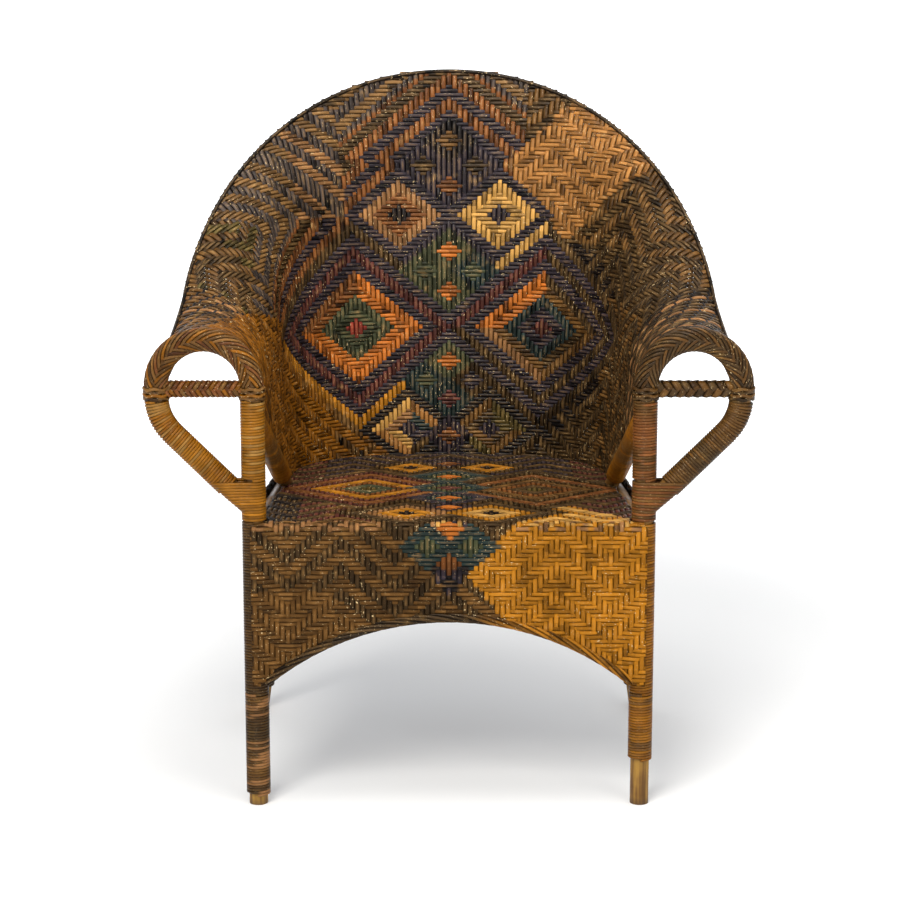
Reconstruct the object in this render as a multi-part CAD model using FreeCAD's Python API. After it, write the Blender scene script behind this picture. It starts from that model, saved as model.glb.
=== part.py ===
import FreeCAD, Part
import math
import os
from FreeCAD import Vector

# Wicker armchair: bent rattan poles, cane wrapping and woven panels.
# Millimetres. X to the viewer's right, Y to the back, Z up from the floor.
# Y is first counted from the axis plane of the front legs.

# Heights
SEAT_HEIGHT = 407.0          # top of the woven seat
BACK_HEIGHT = 1008.0         # middle of the weave at the top of the back
ARCH_RISE = 185.0            # above the seat, where the arm hoop starts to bend over
ARM_EDGE_RISE = 160.0        # above the seat, lower edge of the arm weave at the front post
STRUT_FOOT_RISE = 13.0       # above the seat, where the slanting strut meets the front post
RIM_ARM_RISE = 187.0         # above the seat, rim of the weave at the front of the arm

# Plan
LEG_X = 267.5                # front leg axis
ARCH_R = 65.0                # bend of the arm hoop, to the pole's axis
BASE_BACK_Y = 489.0          # weave at seat level, middle of the back
BASE_CORNER_Y = 300.0        # weave at seat level, where the back starts to bend
BASE_CORNER_X = 240.0
BASE_POWER = 2.5             # 2 is an ellipse, more is squarer
BACK_RAKE = 121.0            # rim behind the seat's edge, middle of the back
RIM_CORNER_Y = 222.0         # rim, where the back starts to bend
RIM_CORNER_X = 385.5
RIM_POWER = 2.05
RIM_ARM_SLOPE = 0.35         # rise of the rim along the arm
RIM_BEND_Y = 240.0           # where the rim turns up to the back
RIM_BEND_SOFT = 50.0
LEAN_BACK = 7.5              # degrees, lean of the back at the seat
FLARE_BACK = 18.0            # degrees from upright, rim end at the back
FLARE_ARM = 180.0            # degrees from upright, the arm rolls right over
FLARE_POWER = 2.2            # how late the flare turns into the roll

# Rear legs
REAR_FOOT_X = 303.0
REAR_FOOT_IN = 47.0          # foot in front of the seat's rear edge
REAR_KNEE_X = 248.0
REAR_KNEE_IN = 91.0
REAR_TOP_SHARE = 0.43        # place along the rim where the post ends

# Poles
POLE_R = 13.0
RAIL_R = 11.0
BRACE_R = 10.5
CROSSBAR_R = 8.0
SEAT_BAR_R = 9.0
SEAT_BAR_Y = (125.0, 255.0)
RIM_R = 6.0
STRUT_BEND_R = 70.0
STRUT_DROP = 14.0            # straight part between arch and strut bend
SCARF_RUN = 44.0             # length of the slanting joint at the post's top

# Weave and wrapping
PANEL_T = 7.0
RIB_PITCH = 32.0             # between the main stakes that stand out of the weave
RIB_STEP = 1.0               # width of the slope at a stake's side
SEAT_RIB_PITCH = 32.0
RIB_RISE = 1.8               # how far they stand out, on each face
CANE_R = 2.0                 # round cane that is wound on the poles
CANE_LIFT = 0.2              # between a pole and the cane on it
CANE_TURNS = 24              # most turns in a wound stretch
CANE_GAP = 0.7               # least gap between two turns
BRAID_T = 3.5
COLLAR_T = 5.0
COLLAR_H = 17.0
ROPE_R = 7.0
WRAP_END_LEFT = 13.0         # bare wood below this height
WRAP_END_RIGHT = 64.0
WRAP_END_REAR = 40.0
WEB_HEIGHT = 34.0

# Aprons
ARCH_CROWN_Z = 272.0         # middle of the rope edge, at the middle
ARCH_FOOT_Z = 168.0          # middle of the rope edge, at the legs

# Nails
NAIL_R = 1.5
NAIL_HEAD_R = 3.5
NAIL_HEAD_T = 1.5
NAIL_LENGTH = 42.0
SCARF_NAIL_LENGTH = 20.0

FIT = 0.3                    # gap between curved neighbours

ARCH_SPRING_Z = SEAT_HEIGHT + ARCH_RISE
ARM_EDGE_Z = SEAT_HEIGHT + ARM_EDGE_RISE
STRUT_FOOT_Z = SEAT_HEIGHT + STRUT_FOOT_RISE
RIM_ARM_Z = SEAT_HEIGHT + RIM_ARM_RISE
RIM_BACK_Y = BASE_BACK_Y + BACK_RAKE
REAR_FOOT_Y = BASE_BACK_Y - REAR_FOOT_IN
REAR_KNEE_Y = BASE_BACK_Y - REAR_KNEE_IN
HALF_T = PANEL_T / 2
RAIL_Z = SEAT_HEIGHT - PANEL_T - FIT - RAIL_R
SHELL_Z = SEAT_HEIGHT - PANEL_T
WRAP_T = 2 * CANE_R + CANE_LIFT
WRAP_R = POLE_R + WRAP_T
BRACE_WRAP_R = BRACE_R + WRAP_T
EDGE_Y = POLE_R + FIT        # weave starts behind the front poles
APRON_OUT = RAIL_R + FIT + HALF_T
PARTS = {}


def keep_main(shape):
    """The largest solid of a cut."""
    return max(shape.Solids, key=lambda solid: solid.Volume)


def add(name, *solids):
    """Keep one named piece, as one solid or a group of separate solids."""
    shape = solids[0] if len(solids) == 1 else Part.makeCompound(list(solids))
    PARTS[name] = shape


def mirrored(shape):
    return shape.mirror(Vector(0, 0, 0), Vector(1, 0, 0))


def both(name, right):
    """A piece that stands once on each side."""
    add(name + "_right", right)
    add(name + "_left", mirrored(right))


def rod(start, end, radius, extra=0.0):
    """A round bar between two points, longer by extra at both ends."""
    way = (end - start).normalize()
    length = (end - start).Length + 2 * extra
    return Part.makeCylinder(radius, length, start - way * extra, way)


def sleeve(start, end, inner, outer):
    return rod(start, end, outer).cut(rod(start, end, inner, 1.0))


def half_space(point, way, size=400.0):
    """A large block on the side of a plane that way points to."""
    block = Part.makeBox(size, size, size, Vector(-size / 2, -size / 2, 0))
    turn = FreeCAD.Rotation(Vector(0, 0, 1), way)
    block.Placement = FreeCAD.Placement(point, turn)
    return block


def arc_between(start, bend, end):
    """Circular arc from start to end whose end tangents meet in bend."""
    middle = (start + end) * 0.5
    half = (end - start).Length / 2
    rise = (bend - middle).Length
    if rise < 1e-4 * half:
        return Part.makeLine(start, end)
    quarter = math.tan(math.atan2(rise, half) / 2)
    top = middle + (bend - middle) * (half * quarter / rise)
    return Part.Arc(start, top, end).toShape()


def smooth_path(points, ways):
    """Tangent arcs through the points, two arcs for each span."""
    edges = []
    for p, q, a, b in zip(points, points[1:], ways, ways[1:]):
        span = q - p
        both_ways = a + b
        turn = 2 * (1 - a.dot(b))
        along = span.dot(both_ways)
        if turn < 1e-9:
            reach = span.dot(span) / (2 * along)
        else:
            root = math.sqrt(along * along + turn * span.dot(span))
            reach = (root - along) / turn
        bend_a = p + a * reach
        bend_b = q - b * reach
        joint = (bend_a + bend_b) * 0.5
        edges.append(arc_between(p, bend_a, joint))
        edges.append(arc_between(joint, bend_b, q))
    return Part.Wire(edges)


def directions(points):
    """Unit tangents at the points, from their neighbours."""
    last = len(points) - 1
    found = []
    for i in range(len(points)):
        step = points[min(i + 1, last)] - points[max(i - 1, 0)]
        found.append(Vector(step).normalize())
    return found


def tube_along(path, radius):
    """A round pole along a path of tangent lines and arcs."""
    first = path.Edges[0]
    start = first.valueAt(first.FirstParameter)
    way = first.tangentAt(first.FirstParameter)
    ring = Part.Wire(Part.makeCircle(radius, start, way))
    return path.makePipeShell([ring], True, False)


def turns_on(start, end):
    """As many turns as a stretch of pole holds."""
    return min(CANE_TURNS, int(((end - start).Length - 2 * CANE_R) / (2 * CANE_R + CANE_GAP)))


def winding(name, start, end, turns):
    """Cane wound round a pole as one unbroken tube, and its least gap to itself."""
    way = (end - start).normalize()
    side = way.cross(Vector(0, 1, 0)).normalize()
    front = side.cross(way)
    reach = POLE_R + CANE_LIFT + CANE_R
    lead = ((end - start).Length - 2 * CANE_R) / turns

    def helix(turn):
        angle = 2 * math.pi * turn
        spoke = side * math.cos(angle) + front * math.sin(angle)
        return start + way * (CANE_R + lead * turn) + spoke * reach

    points = []
    ways = []
    for half in range(2 * turns + 1):
        sign = -1 if half % 2 else 1
        points.append(helix(half / 2))
        ways.append((front * (sign * 2 * math.pi * reach) + way * lead).normalize())
    path = smooth_path(points, ways)
    dots = path.discretize(Number=24 * turns)
    gap = min((dots[i] - dots[j]).Length
              for i in range(len(dots)) for j in range(i + 18, min(i + 31, len(dots))))
    print(f"{name}: {turns} turns, least gap to itself {gap - 2 * CANE_R:.2f} mm")
    return tube_along(path, CANE_R)


def u_curve(back_y, corner_y, corner_x, power, front_x, front_y):
    """Right half of a U in plan, from the middle of the back to the arm front."""
    steps = 240
    points = []
    for k in range(steps + 1):
        angle = math.pi / 2 * k / steps
        x = corner_x * math.sin(angle) ** (2 / power)
        y = corner_y + (back_y - corner_y) * max(math.cos(angle), 0.0) ** (2 / power)
        points.append((x, y))
    points.append((front_x, front_y))
    lengths = [0.0]
    for p, q in zip(points, points[1:]):
        lengths.append(lengths[-1] + math.dist(p, q))
    return points, lengths


def on_curve(curve, share):
    """Point at a share of the half curve's length. Below 0 is the left half."""
    points, lengths = curve
    want = min(abs(share), 1.0) * lengths[-1]
    i = 0
    while i < len(points) - 2 and lengths[i + 1] < want:
        i += 1
    t = (want - lengths[i]) / (lengths[i + 1] - lengths[i])
    x = points[i][0] + t * (points[i + 1][0] - points[i][0])
    y = points[i][1] + t * (points[i + 1][1] - points[i][1])
    return Vector(math.copysign(x, share) if share else 0.0, y, 0)


BASE = u_curve(BASE_BACK_Y, BASE_CORNER_Y, BASE_CORNER_X, BASE_POWER, LEG_X, EDGE_Y)
RIM = u_curve(RIM_BACK_Y, RIM_CORNER_Y, RIM_CORNER_X, RIM_POWER,
              LEG_X + 2 * ARCH_R, EDGE_Y)
CORNER_SHARE = BASE[1][-2] / BASE[1][-1]


def soft_ramp(y):
    return RIM_BEND_SOFT * math.log(1 + math.exp((y - RIM_BEND_Y) / RIM_BEND_SOFT))


def rim_z(y):
    """Height of the rim: gentle along the arm, then one steep straight slope."""
    top = BACK_HEIGHT - RIM_ARM_Z - RIM_ARM_SLOPE * RIM_BACK_Y
    return RIM_ARM_Z + RIM_ARM_SLOPE * y + top * soft_ramp(y) / soft_ramp(RIM_BACK_Y)


def edge_z(share):
    """Lower edge of the weave: on the seat frame, then up along the arm brace."""
    run = (abs(share) - CORNER_SHARE) / (1 - CORNER_SHARE)
    return SHELL_Z + max(run, 0.0) * (ARM_EDGE_Z - SHELL_Z)


class Profile:
    """Upright section of the weave: a straight wall, then one arc out to the rim."""

    def __init__(self, share):
        self.share = share
        self.foot = on_curve(BASE, share)
        rim = on_curve(RIM, share)
        out = rim - self.foot
        self.out = Vector(out).normalize()
        reach = out.Length
        rise = rim_z(rim.y) - SHELL_Z
        part = abs(share)
        flare = FLARE_BACK + (FLARE_ARM - FLARE_BACK) * part ** FLARE_POWER
        self.a = math.radians(LEAN_BACK * (1 - part * part))
        self.b = math.radians(flare)
        side = math.cos(self.a) - math.cos(self.b)
        lift = math.sin(self.b) - math.sin(self.a)
        turn = math.cos(self.a) * side - math.sin(self.a) * lift
        self.radius = (math.cos(self.a) * reach - math.sin(self.a) * rise) / turn
        self.wall = (side * rise - lift * reach) / turn
        self.low = (edge_z(share) - SHELL_Z) / math.cos(self.a)

    def place(self, q, z):
        return self.foot + self.out * q + Vector(0, 0, SHELL_Z + z)

    def wall_point(self, along, off):
        """On the straight wall, off to the outside of the chair."""
        q = along * math.sin(self.a) + off * math.cos(self.a)
        z = along * math.cos(self.a) - off * math.sin(self.a)
        return self.place(q, z)

    def arc_point(self, angle, off, past=0.0):
        """On the arc, where the weave points angle away from upright."""
        r = self.radius - off
        q = self.wall * math.sin(self.a) + self.radius * math.cos(self.a) - r * math.cos(angle)
        z = self.wall * math.cos(self.a) - self.radius * math.sin(self.a) + r * math.sin(angle)
        return self.place(q + past * math.sin(angle), z + past * math.cos(angle))

    def section(self, half):
        """Closed outline of the weave at this place, half its thickness on each face."""
        mid = (self.a + self.b) / 2
        inner = [self.wall_point(self.low, -half), self.wall_point(self.wall, -half),
                 self.arc_point(mid, -half), self.arc_point(self.b, -half)]
        outer = [self.wall_point(self.low, half), self.wall_point(self.wall, half),
                 self.arc_point(mid, half), self.arc_point(self.b, half)]
        return Part.Wire([
            Part.makeLine(inner[0], inner[1]),
            Part.Arc(inner[1], inner[2], inner[3]).toShape(),
            Part.makeLine(inner[3], outer[3]),
            Part.Arc(outer[3], outer[2], outer[1]).toShape(),
            Part.makeLine(outer[1], outer[0]),
            Part.makeLine(outer[0], inner[0]),
        ])

    def end(self):
        return self.arc_point(self.b, 0)

    def rim_axis(self, behind):
        """Beside the weave's top edge, behind by the given distance."""
        step = 0.002
        far = min(self.share + step, 1.0)
        near = max(self.share - step, -1.0)
        along = (Profile(far).end() - Profile(near).end()).normalize()
        up = self.out * math.sin(self.b) + Vector(0, 0, math.cos(self.b))
        back = along.cross(up).normalize() * -1
        inward = along.cross(back).normalize()
        return self.end() + back * (HALF_T + FIT + behind) + inward * (2.0 - RIM_R)


def woven(first, last):
    """A woven sheet between two shares, with a main stake at both ends and at each pitch."""
    ribs = round(RIM[1][-1] * (last - first) / RIB_PITCH)
    pitch = (last - first) / ribs
    step = RIB_STEP / RIM[1][-1]
    sections = [Profile(first).section(HALF_T)]
    for k in range(ribs):
        start = first + pitch * (k + 0.25)
        end = first + pitch * (k + 0.75)
        for share, half in ((start, HALF_T), (start + step, HALF_T - RIB_RISE),
                            (end - step, HALF_T - RIB_RISE), (end, HALF_T)):
            sections.append(Profile(share).section(half))
    sections.append(Profile(last).section(HALF_T))
    return Part.makeLoft(sections, True, True)


def spread(first, last, count):
    return [first + (last - first) * i / (count - 1) for i in range(count)]


# Front legs, each one straight pole from the floor to the arm
leg_foot = Vector(LEG_X, 0, 0)
leg_top = Vector(LEG_X, 0, ARCH_SPRING_Z)


def leg_axis(z):
    return leg_foot + (leg_top - leg_foot) * (z / ARCH_SPRING_Z)


scarf_point = leg_axis(ARCH_SPRING_Z - SCARF_RUN / 2)
scarf_way = Vector(0, SCARF_RUN, 2 * POLE_R)
front_leg = rod(leg_foot, leg_axis(ARCH_SPRING_Z + SCARF_RUN), POLE_R, 30.0)
front_leg = front_leg.cut(half_space(Vector(0, 0, 0), Vector(0, 0, -1), 900.0))
front_leg = front_leg.cut(half_space(scarf_point, scarf_way))

# Arm hoops: up from the post, over, and down again as the slanting strut
arch_middle = Vector(LEG_X + ARCH_R, 0, ARCH_SPRING_Z)
arch_out = arch_middle + Vector(ARCH_R, 0, 0)
bend_top = arch_out - Vector(0, 0, STRUT_DROP)
bend_middle = bend_top - Vector(STRUT_BEND_R, 0, 0)
strut_foot = leg_axis(STRUT_FOOT_Z)
to_foot = strut_foot - bend_middle
bearing = math.atan2(to_foot.z, to_foot.x)
strut_turn = -math.acos(STRUT_BEND_R / to_foot.Length) - bearing


def on_bend(angle):
    way = Vector(math.cos(angle), 0, -math.sin(angle))
    return bend_middle + way * STRUT_BEND_R


strut_top = on_bend(strut_turn)
hoop_foot = leg_top - Vector(0, 0, SCARF_RUN + 20)
hoop_path = Part.Wire([
    Part.makeLine(hoop_foot, leg_top),
    Part.Arc(leg_top, arch_middle + Vector(0, 0, ARCH_R), arch_out).toShape(),
    Part.makeLine(arch_out, bend_top),
    Part.Arc(bend_top, on_bend(strut_turn / 2), strut_top).toShape(),
    Part.makeLine(strut_top, strut_foot),
])
arm_hoop = tube_along(hoop_path, POLE_R)
strut_end = half_space(strut_foot, strut_foot - strut_top, 120.0)
arm_hoop = arm_hoop.cut(half_space(scarf_point, scarf_way * -1, 120.0)).cut(strut_end)
arm_hoop = keep_main(arm_hoop.cut(rod(leg_foot, leg_axis(ARCH_SPRING_Z - 2 * SCARF_RUN), POLE_R)))

# Bar across each arm, under the arch
bar_z = ARCH_SPRING_Z - 3.0
bar_start = Vector(LEG_X, 0, bar_z)
bar_end = Vector(arch_out.x, 0, bar_z)
arm_bar = keep_main(rod(bar_start, bar_end, CROSSBAR_R).cut(arm_hoop).cut(front_leg))
bar_braid = sleeve(bar_start, bar_end, CROSSBAR_R, CROSSBAR_R + BRAID_T)
for post in (bar_start, bar_end):
    post_zone = rod(post - Vector(0, 0, 60), post + Vector(0, 0, 60), POLE_R + COLLAR_T + 3 * FIT)
    bar_braid = bar_braid.cut(post_zone)
bar_braid = keep_main(bar_braid)

# Rear legs: splayed below the knee, leaning out behind the weave above it
rear_foot = Vector(REAR_FOOT_X, REAR_FOOT_Y, 0)
rear_knee = Vector(REAR_KNEE_X, REAR_KNEE_Y, RAIL_Z)
post_place = Profile(REAR_TOP_SHARE)
rear_top = post_place.rim_axis(2 * RIM_R + FIT + POLE_R)
knee_down = (rear_foot - rear_knee).normalize()
knee_up = (rear_top - rear_knee).normalize()
knee_run = 45.0
knee_low = rear_knee + knee_down * knee_run
knee_high = rear_knee + knee_up * knee_run
rear_path = Part.Wire([
    Part.makeLine(rear_foot + knee_down * 30, knee_low),
    arc_between(knee_low, rear_knee, knee_high),
    Part.makeLine(knee_high, rear_top),
])
rear_leg = tube_along(rear_path, POLE_R)
rear_leg = keep_main(rear_leg.cut(half_space(rear_foot, Vector(0, 0, -1))))

# Seat frame
front_rail_end = Vector(leg_axis(RAIL_Z).x, 0, RAIL_Z)
front_rail = rod(front_rail_end, mirrored(Part.Vertex(front_rail_end)).Point, RAIL_R)
front_rail = keep_main(front_rail.cut(front_leg).cut(mirrored(front_leg)))
side_rail = rod(front_rail_end, rear_knee, RAIL_R)
side_rail = keep_main(side_rail.cut(front_leg).cut(rear_leg).cut(front_rail))
bow_points = []
for share in spread(-0.5, 0.5, 17):
    bow_points.append(on_curve(BASE, share) + Vector(0, 0, RAIL_Z))
rear_bow = tube_along(smooth_path(bow_points, directions(bow_points)), RAIL_R)
for part in (side_rail, rear_leg):
    rear_bow = rear_bow.cut(part).cut(mirrored(part))
rear_bow = keep_main(rear_bow)
rail_way = rear_knee - front_rail_end
seat_bars = []
for y in SEAT_BAR_Y:
    z = SEAT_HEIGHT - PANEL_T - FIT - SEAT_BAR_R
    x = front_rail_end.x + rail_way.x * y / rail_way.y
    bar = rod(Vector(-x, y, z), Vector(x, y, z), SEAT_BAR_R)
    seat_bars.append(keep_main(bar.cut(side_rail).cut(mirrored(side_rail))))

# Woven back and arms, one sheet in three pieces that meet face to face
back_panel = woven(-CORNER_SHARE, CORNER_SHARE)
arm_panel = woven(CORNER_SHARE, 1.0)

# Brace under each arm's lower edge, from the post down to the seat frame
edge_front = Profile(1.0).wall_point(Profile(1.0).low, 0)
edge_back = on_curve(BASE, CORNER_SHARE) + Vector(0, 0, SHELL_Z)
edge_way = (edge_back - edge_front).normalize()
down = Vector(0, 0, -1) + edge_way * edge_way.z
down.normalize()
brace_off = down * (BRACE_WRAP_R + FIT)
brace_front = edge_front + brace_off - edge_way * 2 * POLE_R
brace_back = edge_back + brace_off + edge_way * 2 * POLE_R
brace_stop = half_space(Vector(0, 0, SHELL_Z), Vector(0, 0, -1), 2000.0)
leg_line = rod(leg_foot, leg_top, WRAP_R + FIT)
brace = rod(brace_front, brace_back, BRACE_R).cut(leg_line).cut(side_rail).cut(brace_stop)
brace = keep_main(brace.cut(rear_leg).cut(arm_hoop))
brace_sleeve = sleeve(brace_front, brace_back, BRACE_R, BRACE_WRAP_R)
brace_sleeve = brace_sleeve.cut(rod(leg_foot, leg_top, WRAP_R + FIT))
brace_sleeve = keep_main(brace_sleeve.cut(brace_stop).cut(rear_leg))

# Rim hoop behind the top edge of the weave, from arm to arm
rim_points = []
for share in spread(-1.0, 1.0, 41):
    rim_points.append(Profile(share).rim_axis(RIM_R))
rim_ways = directions(rim_points)
rim_hoop = tube_along(smooth_path(rim_points, rim_ways), RIM_R)
rim_ends = rod(rim_points[-1], rim_points[-1] + rim_ways[-1] * RIM_R, RIM_R)
rim_tip = keep_main(rim_ends.cut(arm_hoop))
rim_hoop = rim_hoop.fuse([rim_tip, mirrored(rim_tip)]).removeSplitter()
for part in (arm_hoop, rod(bar_start, bar_end, CROSSBAR_R + BRAID_T + FIT)):
    rim_hoop = rim_hoop.cut(part).cut(mirrored(part))
rim_hoop = keep_main(rim_hoop)

# Seat weave, up to the inside of the back and notched round the front posts
inside = []
for share in spread(-1.0, 1.0, 61):
    here = Profile(share)
    inside.append(here.foot - here.out * (HALF_T + FIT))
nose_y = -APRON_OUT - HALF_T
notch_x = leg_axis(SEAT_HEIGHT).x - WRAP_R - FIT
notch_y = WRAP_R + FIT
inside = [p for p in inside if p.y > notch_y]
turn_in = Vector(inside[-1].x, notch_y, 0)
corner_in = Vector(notch_x, notch_y, 0)
corner_out = Vector(notch_x, nose_y, 0)
back_line = Part.BSplineCurve()
back_line.interpolate(inside)
outline = [back_line.toShape()]
run = [inside[-1], turn_in, corner_in, corner_out]
run += [Vector(-p.x, p.y, 0) for p in reversed(run)]
for p, q in zip(run, run[1:]):
    outline.append(Part.makeLine(p, q))
seat = Part.Face(Part.Wire(outline)).extrude(Vector(0, 0, PANEL_T))
seat.translate(Vector(0, 0, SEAT_HEIGHT - PANEL_T))
front_edge = [e for e in seat.Edges
              if abs(e.CenterOfMass.y - nose_y) < 0.01 and e.CenterOfMass.z > SEAT_HEIGHT - 0.01]
seat = seat.makeFillet(PANEL_T - 1.0, front_edge)
brace_zone = rod(brace_front, brace_back, BRACE_WRAP_R + FIT)
seat = seat.cut(brace_zone).cut(mirrored(brace_zone))
groove_count = int(2 * notch_x / SEAT_RIB_PITCH)
for k in range(groove_count):
    x = (k - groove_count / 2 + 0.25) * SEAT_RIB_PITCH
    groove = Part.makeBox(SEAT_RIB_PITCH / 2, BASE_BACK_Y + PANEL_T, PANEL_T)
    groove.translate(Vector(x, nose_y + PANEL_T, SEAT_HEIGHT - RIB_RISE))
    seat = seat.cut(groove)
seat = keep_main(seat)

# Aprons: a flat or bent sheet down from the seat, with a rope edge on an arch
apron_top = SEAT_HEIGHT - PANEL_T - FIT


def arch_radius(half_span):
    rise = ARCH_CROWN_Z - ARCH_FOOT_Z
    return (half_span * half_span + rise * rise) / (2 * rise)


def arch_z(x, half_span):
    r = arch_radius(half_span)
    return ARCH_CROWN_Z - r + math.sqrt(max(r * r - x * x, 0.0))


def flat_apron(start, end, out):
    """Sheet and rope edge below a straight rail, out from the rail's axis."""
    along = out.cross(Vector(0, 0, 1))
    half = (end - start).Length / 2
    middle = (start + end) * 0.5 + out * APRON_OUT
    r = arch_radius(half)
    hub = Vector(middle.x, middle.y, ARCH_CROWN_Z - r)
    low = ARCH_FOOT_Z - ROPE_R
    corner = middle - along * half - out * HALF_T
    sheet = Part.makeBox(2 * half, PANEL_T, apron_top - low)
    turn = FreeCAD.Rotation(along, out, Vector(0, 0, 1), "XYZ")
    sheet.Placement = FreeCAD.Placement(Vector(corner.x, corner.y, low), turn)
    hole = Part.makeCylinder(r + ROPE_R + FIT, 60, hub - out * 30, out)
    ends = [hub + along * half, hub - along * half]
    rise = ARCH_FOOT_Z - hub.z
    ends = [p + Vector(0, 0, rise) for p in ends]
    path = Part.Wire(Part.Arc(ends[0], hub + Vector(0, 0, r), ends[1]).toShape())
    return sheet.cut(hole), tube_along(path, ROPE_R)


def trimmed(piece, cutters):
    for cutter in cutters:
        piece = piece.cut(cutter)
    return keep_main(piece)


leg_skin = rod(leg_foot, leg_top, WRAP_R + FIT, 20)
rear_skin = rod(rear_foot, rear_knee, WRAP_R + FIT, 30)
apron_x = leg_axis(ARCH_FOOT_Z).x
front_start = Vector(-apron_x, 0, 0)
front_end = Vector(apron_x, 0, 0)
front_apron, front_rope = flat_apron(front_start, front_end, Vector(0, -1, 0))
front_cutters = [leg_skin, mirrored(leg_skin)]
front_apron = trimmed(front_apron, front_cutters)
front_rope = trimmed(front_rope, front_cutters)

side_start = Vector(front_rail_end.x, 0, 0)
side_end = Vector(rear_knee.x, rear_knee.y, 0)
side_way = (side_end - side_start).normalize()
side_out = Vector(side_way.y, -side_way.x, 0)
share_down = 1 - ARCH_FOOT_Z / RAIL_Z
splay = (rear_foot - rear_knee) * share_down
side_reach = side_end + side_way * splay.dot(side_way)
side_apron, side_rope = flat_apron(side_start, side_reach, side_out)
side_cutters = [leg_skin, rear_skin, rear_leg]
side_apron = trimmed(side_apron, side_cutters)
side_rope = trimmed(side_rope, side_cutters)


def bow_offset(share, off):
    """Beside the rear bow, off to the back."""
    step = 0.004
    way = on_curve(BASE, share + step) - on_curve(BASE, share - step)
    out = Vector(-way.y, way.x, 0).normalize()
    return on_curve(BASE, share) + out * off


rear_shares = spread(-0.42, 0.42, 25)
edges = []
for off in (APRON_OUT - HALF_T, APRON_OUT + HALF_T):
    line = Part.BSplineCurve()
    line.interpolate([bow_offset(s, off) for s in rear_shares])
    edges.append(line.toShape())
for i in (0, -1):
    s = rear_shares[i]
    edges.append(Part.makeLine(bow_offset(s, APRON_OUT - HALF_T), bow_offset(s, APRON_OUT + HALF_T)))
rear_face = Part.Face(Part.Wire(Part.__sortEdges__(edges)))
rear_low = ARCH_FOOT_Z - ROPE_R
rear_face.translate(Vector(0, 0, rear_low))
rear_apron = rear_face.extrude(Vector(0, 0, apron_top - rear_low))
rear_half = bow_offset(rear_shares[-1], APRON_OUT).x
rear_r = arch_radius(rear_half)
rear_hub = Vector(0, 0, ARCH_CROWN_Z - rear_r)
rear_apron = rear_apron.cut(Part.makeCylinder(rear_r + ROPE_R + FIT, 2 * BASE_BACK_Y, rear_hub, Vector(0, 1, 0)))
rope_points = []
for s in rear_shares:
    p = bow_offset(s, APRON_OUT)
    rope_points.append(Vector(p.x, p.y, arch_z(p.x, rear_half)))
rear_rope = tube_along(smooth_path(rope_points, directions(rope_points)), ROPE_R)
rear_cutters = [rear_leg, mirrored(rear_leg), rear_skin, mirrored(rear_skin)]
rear_apron = trimmed(rear_apron, rear_cutters)
rear_rope = trimmed(rear_rope, rear_cutters)

# Braid over the front of each arm hoop, and a collar where the bar's braid loops round
outer_ring = Part.makeCircle(POLE_R + FIT + BRAID_T, leg_top, Vector(0, 0, 1), 180, 360)
inner_ring = Part.makeCircle(POLE_R + FIT, leg_top, Vector(0, 0, 1), 180, 360)
rims = [outer_ring, inner_ring]
for side in (-1, 1):
    start = leg_top + Vector(side * (POLE_R + FIT), 0, 0)
    rims.append(Part.makeLine(start, start + Vector(side * BRAID_T, 0, 0)))
crescent = Part.Face(Part.Wire(Part.__sortEdges__(rims)))
arm_braid = crescent.revolve(arch_middle, Vector(0, 1, 0), 180)
bar_zone = rod(bar_start, bar_end, CROSSBAR_R + BRAID_T + FIT)
arm_braid = keep_main(arm_braid.cut(bar_zone))
collars = []
for post in (leg_top, arch_out):
    low = post - Vector(0, 0, COLLAR_H)
    ring = sleeve(low, post, POLE_R + 2 * FIT, POLE_R + 2 * FIT + COLLAR_T)
    open_back = Part.makeBox(120, 60, 120, post + Vector(-60, POLE_R / 2, -60))
    collars.append(keep_main(ring.cut(open_back).cut(bar_zone)))

# Cane wound on posts, struts and front feet, and plain wrapping behind the aprons
strut_way = (strut_foot - strut_top).normalize()
slant = math.acos(-strut_way.z)
strut_clear = (POLE_R + FIT + WRAP_R * math.cos(slant)) / math.sin(slant)
strut_low = strut_foot - strut_way * strut_clear
strut_skin = rod(strut_top, strut_low, WRAP_R + FIT)
post_low_z = STRUT_FOOT_Z + (WRAP_R + FIT) * (1 + math.cos(slant)) / math.sin(slant)
post_low = leg_axis(post_low_z)
post_high = leg_axis(ARM_EDGE_Z - FIT)
post_wrap = winding("post_wrap", post_low, post_high, turns_on(post_low, post_high))
strut_wrap = winding("strut_wrap", strut_top, strut_low, turns_on(strut_top, strut_low))
foot_top_z = ARCH_FOOT_Z - ROPE_R - FIT
foot_top = leg_axis(foot_top_z)
foot_left = leg_axis(WRAP_END_LEFT)
foot_right = leg_axis(WRAP_END_RIGHT)
foot_lead = (foot_top - foot_left).Length / CANE_TURNS
right_turns = int((foot_top - foot_right).Length / foot_lead)
foot_wrap_left = winding("front_foot_wrap_left", foot_left, foot_top, CANE_TURNS)
foot_wrap_right = winding("front_foot_wrap_right", foot_right, foot_top, right_turns)
rail_zones = [rod(front_rail_end, Vector(0, 0, RAIL_Z), RAIL_R + FIT),
              rod(front_rail_end, rear_knee, RAIL_R + FIT, 10)]
leg_wrap = sleeve(leg_axis(foot_top_z + FIT), leg_axis(SEAT_HEIGHT - FIT), POLE_R, WRAP_R)
leg_wrap = trimmed(leg_wrap, rail_zones)
rear_wrap = sleeve(rear_foot + (rear_knee - rear_foot) * (WRAP_END_REAR / RAIL_Z),
                   knee_low, POLE_R, WRAP_R)

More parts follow.
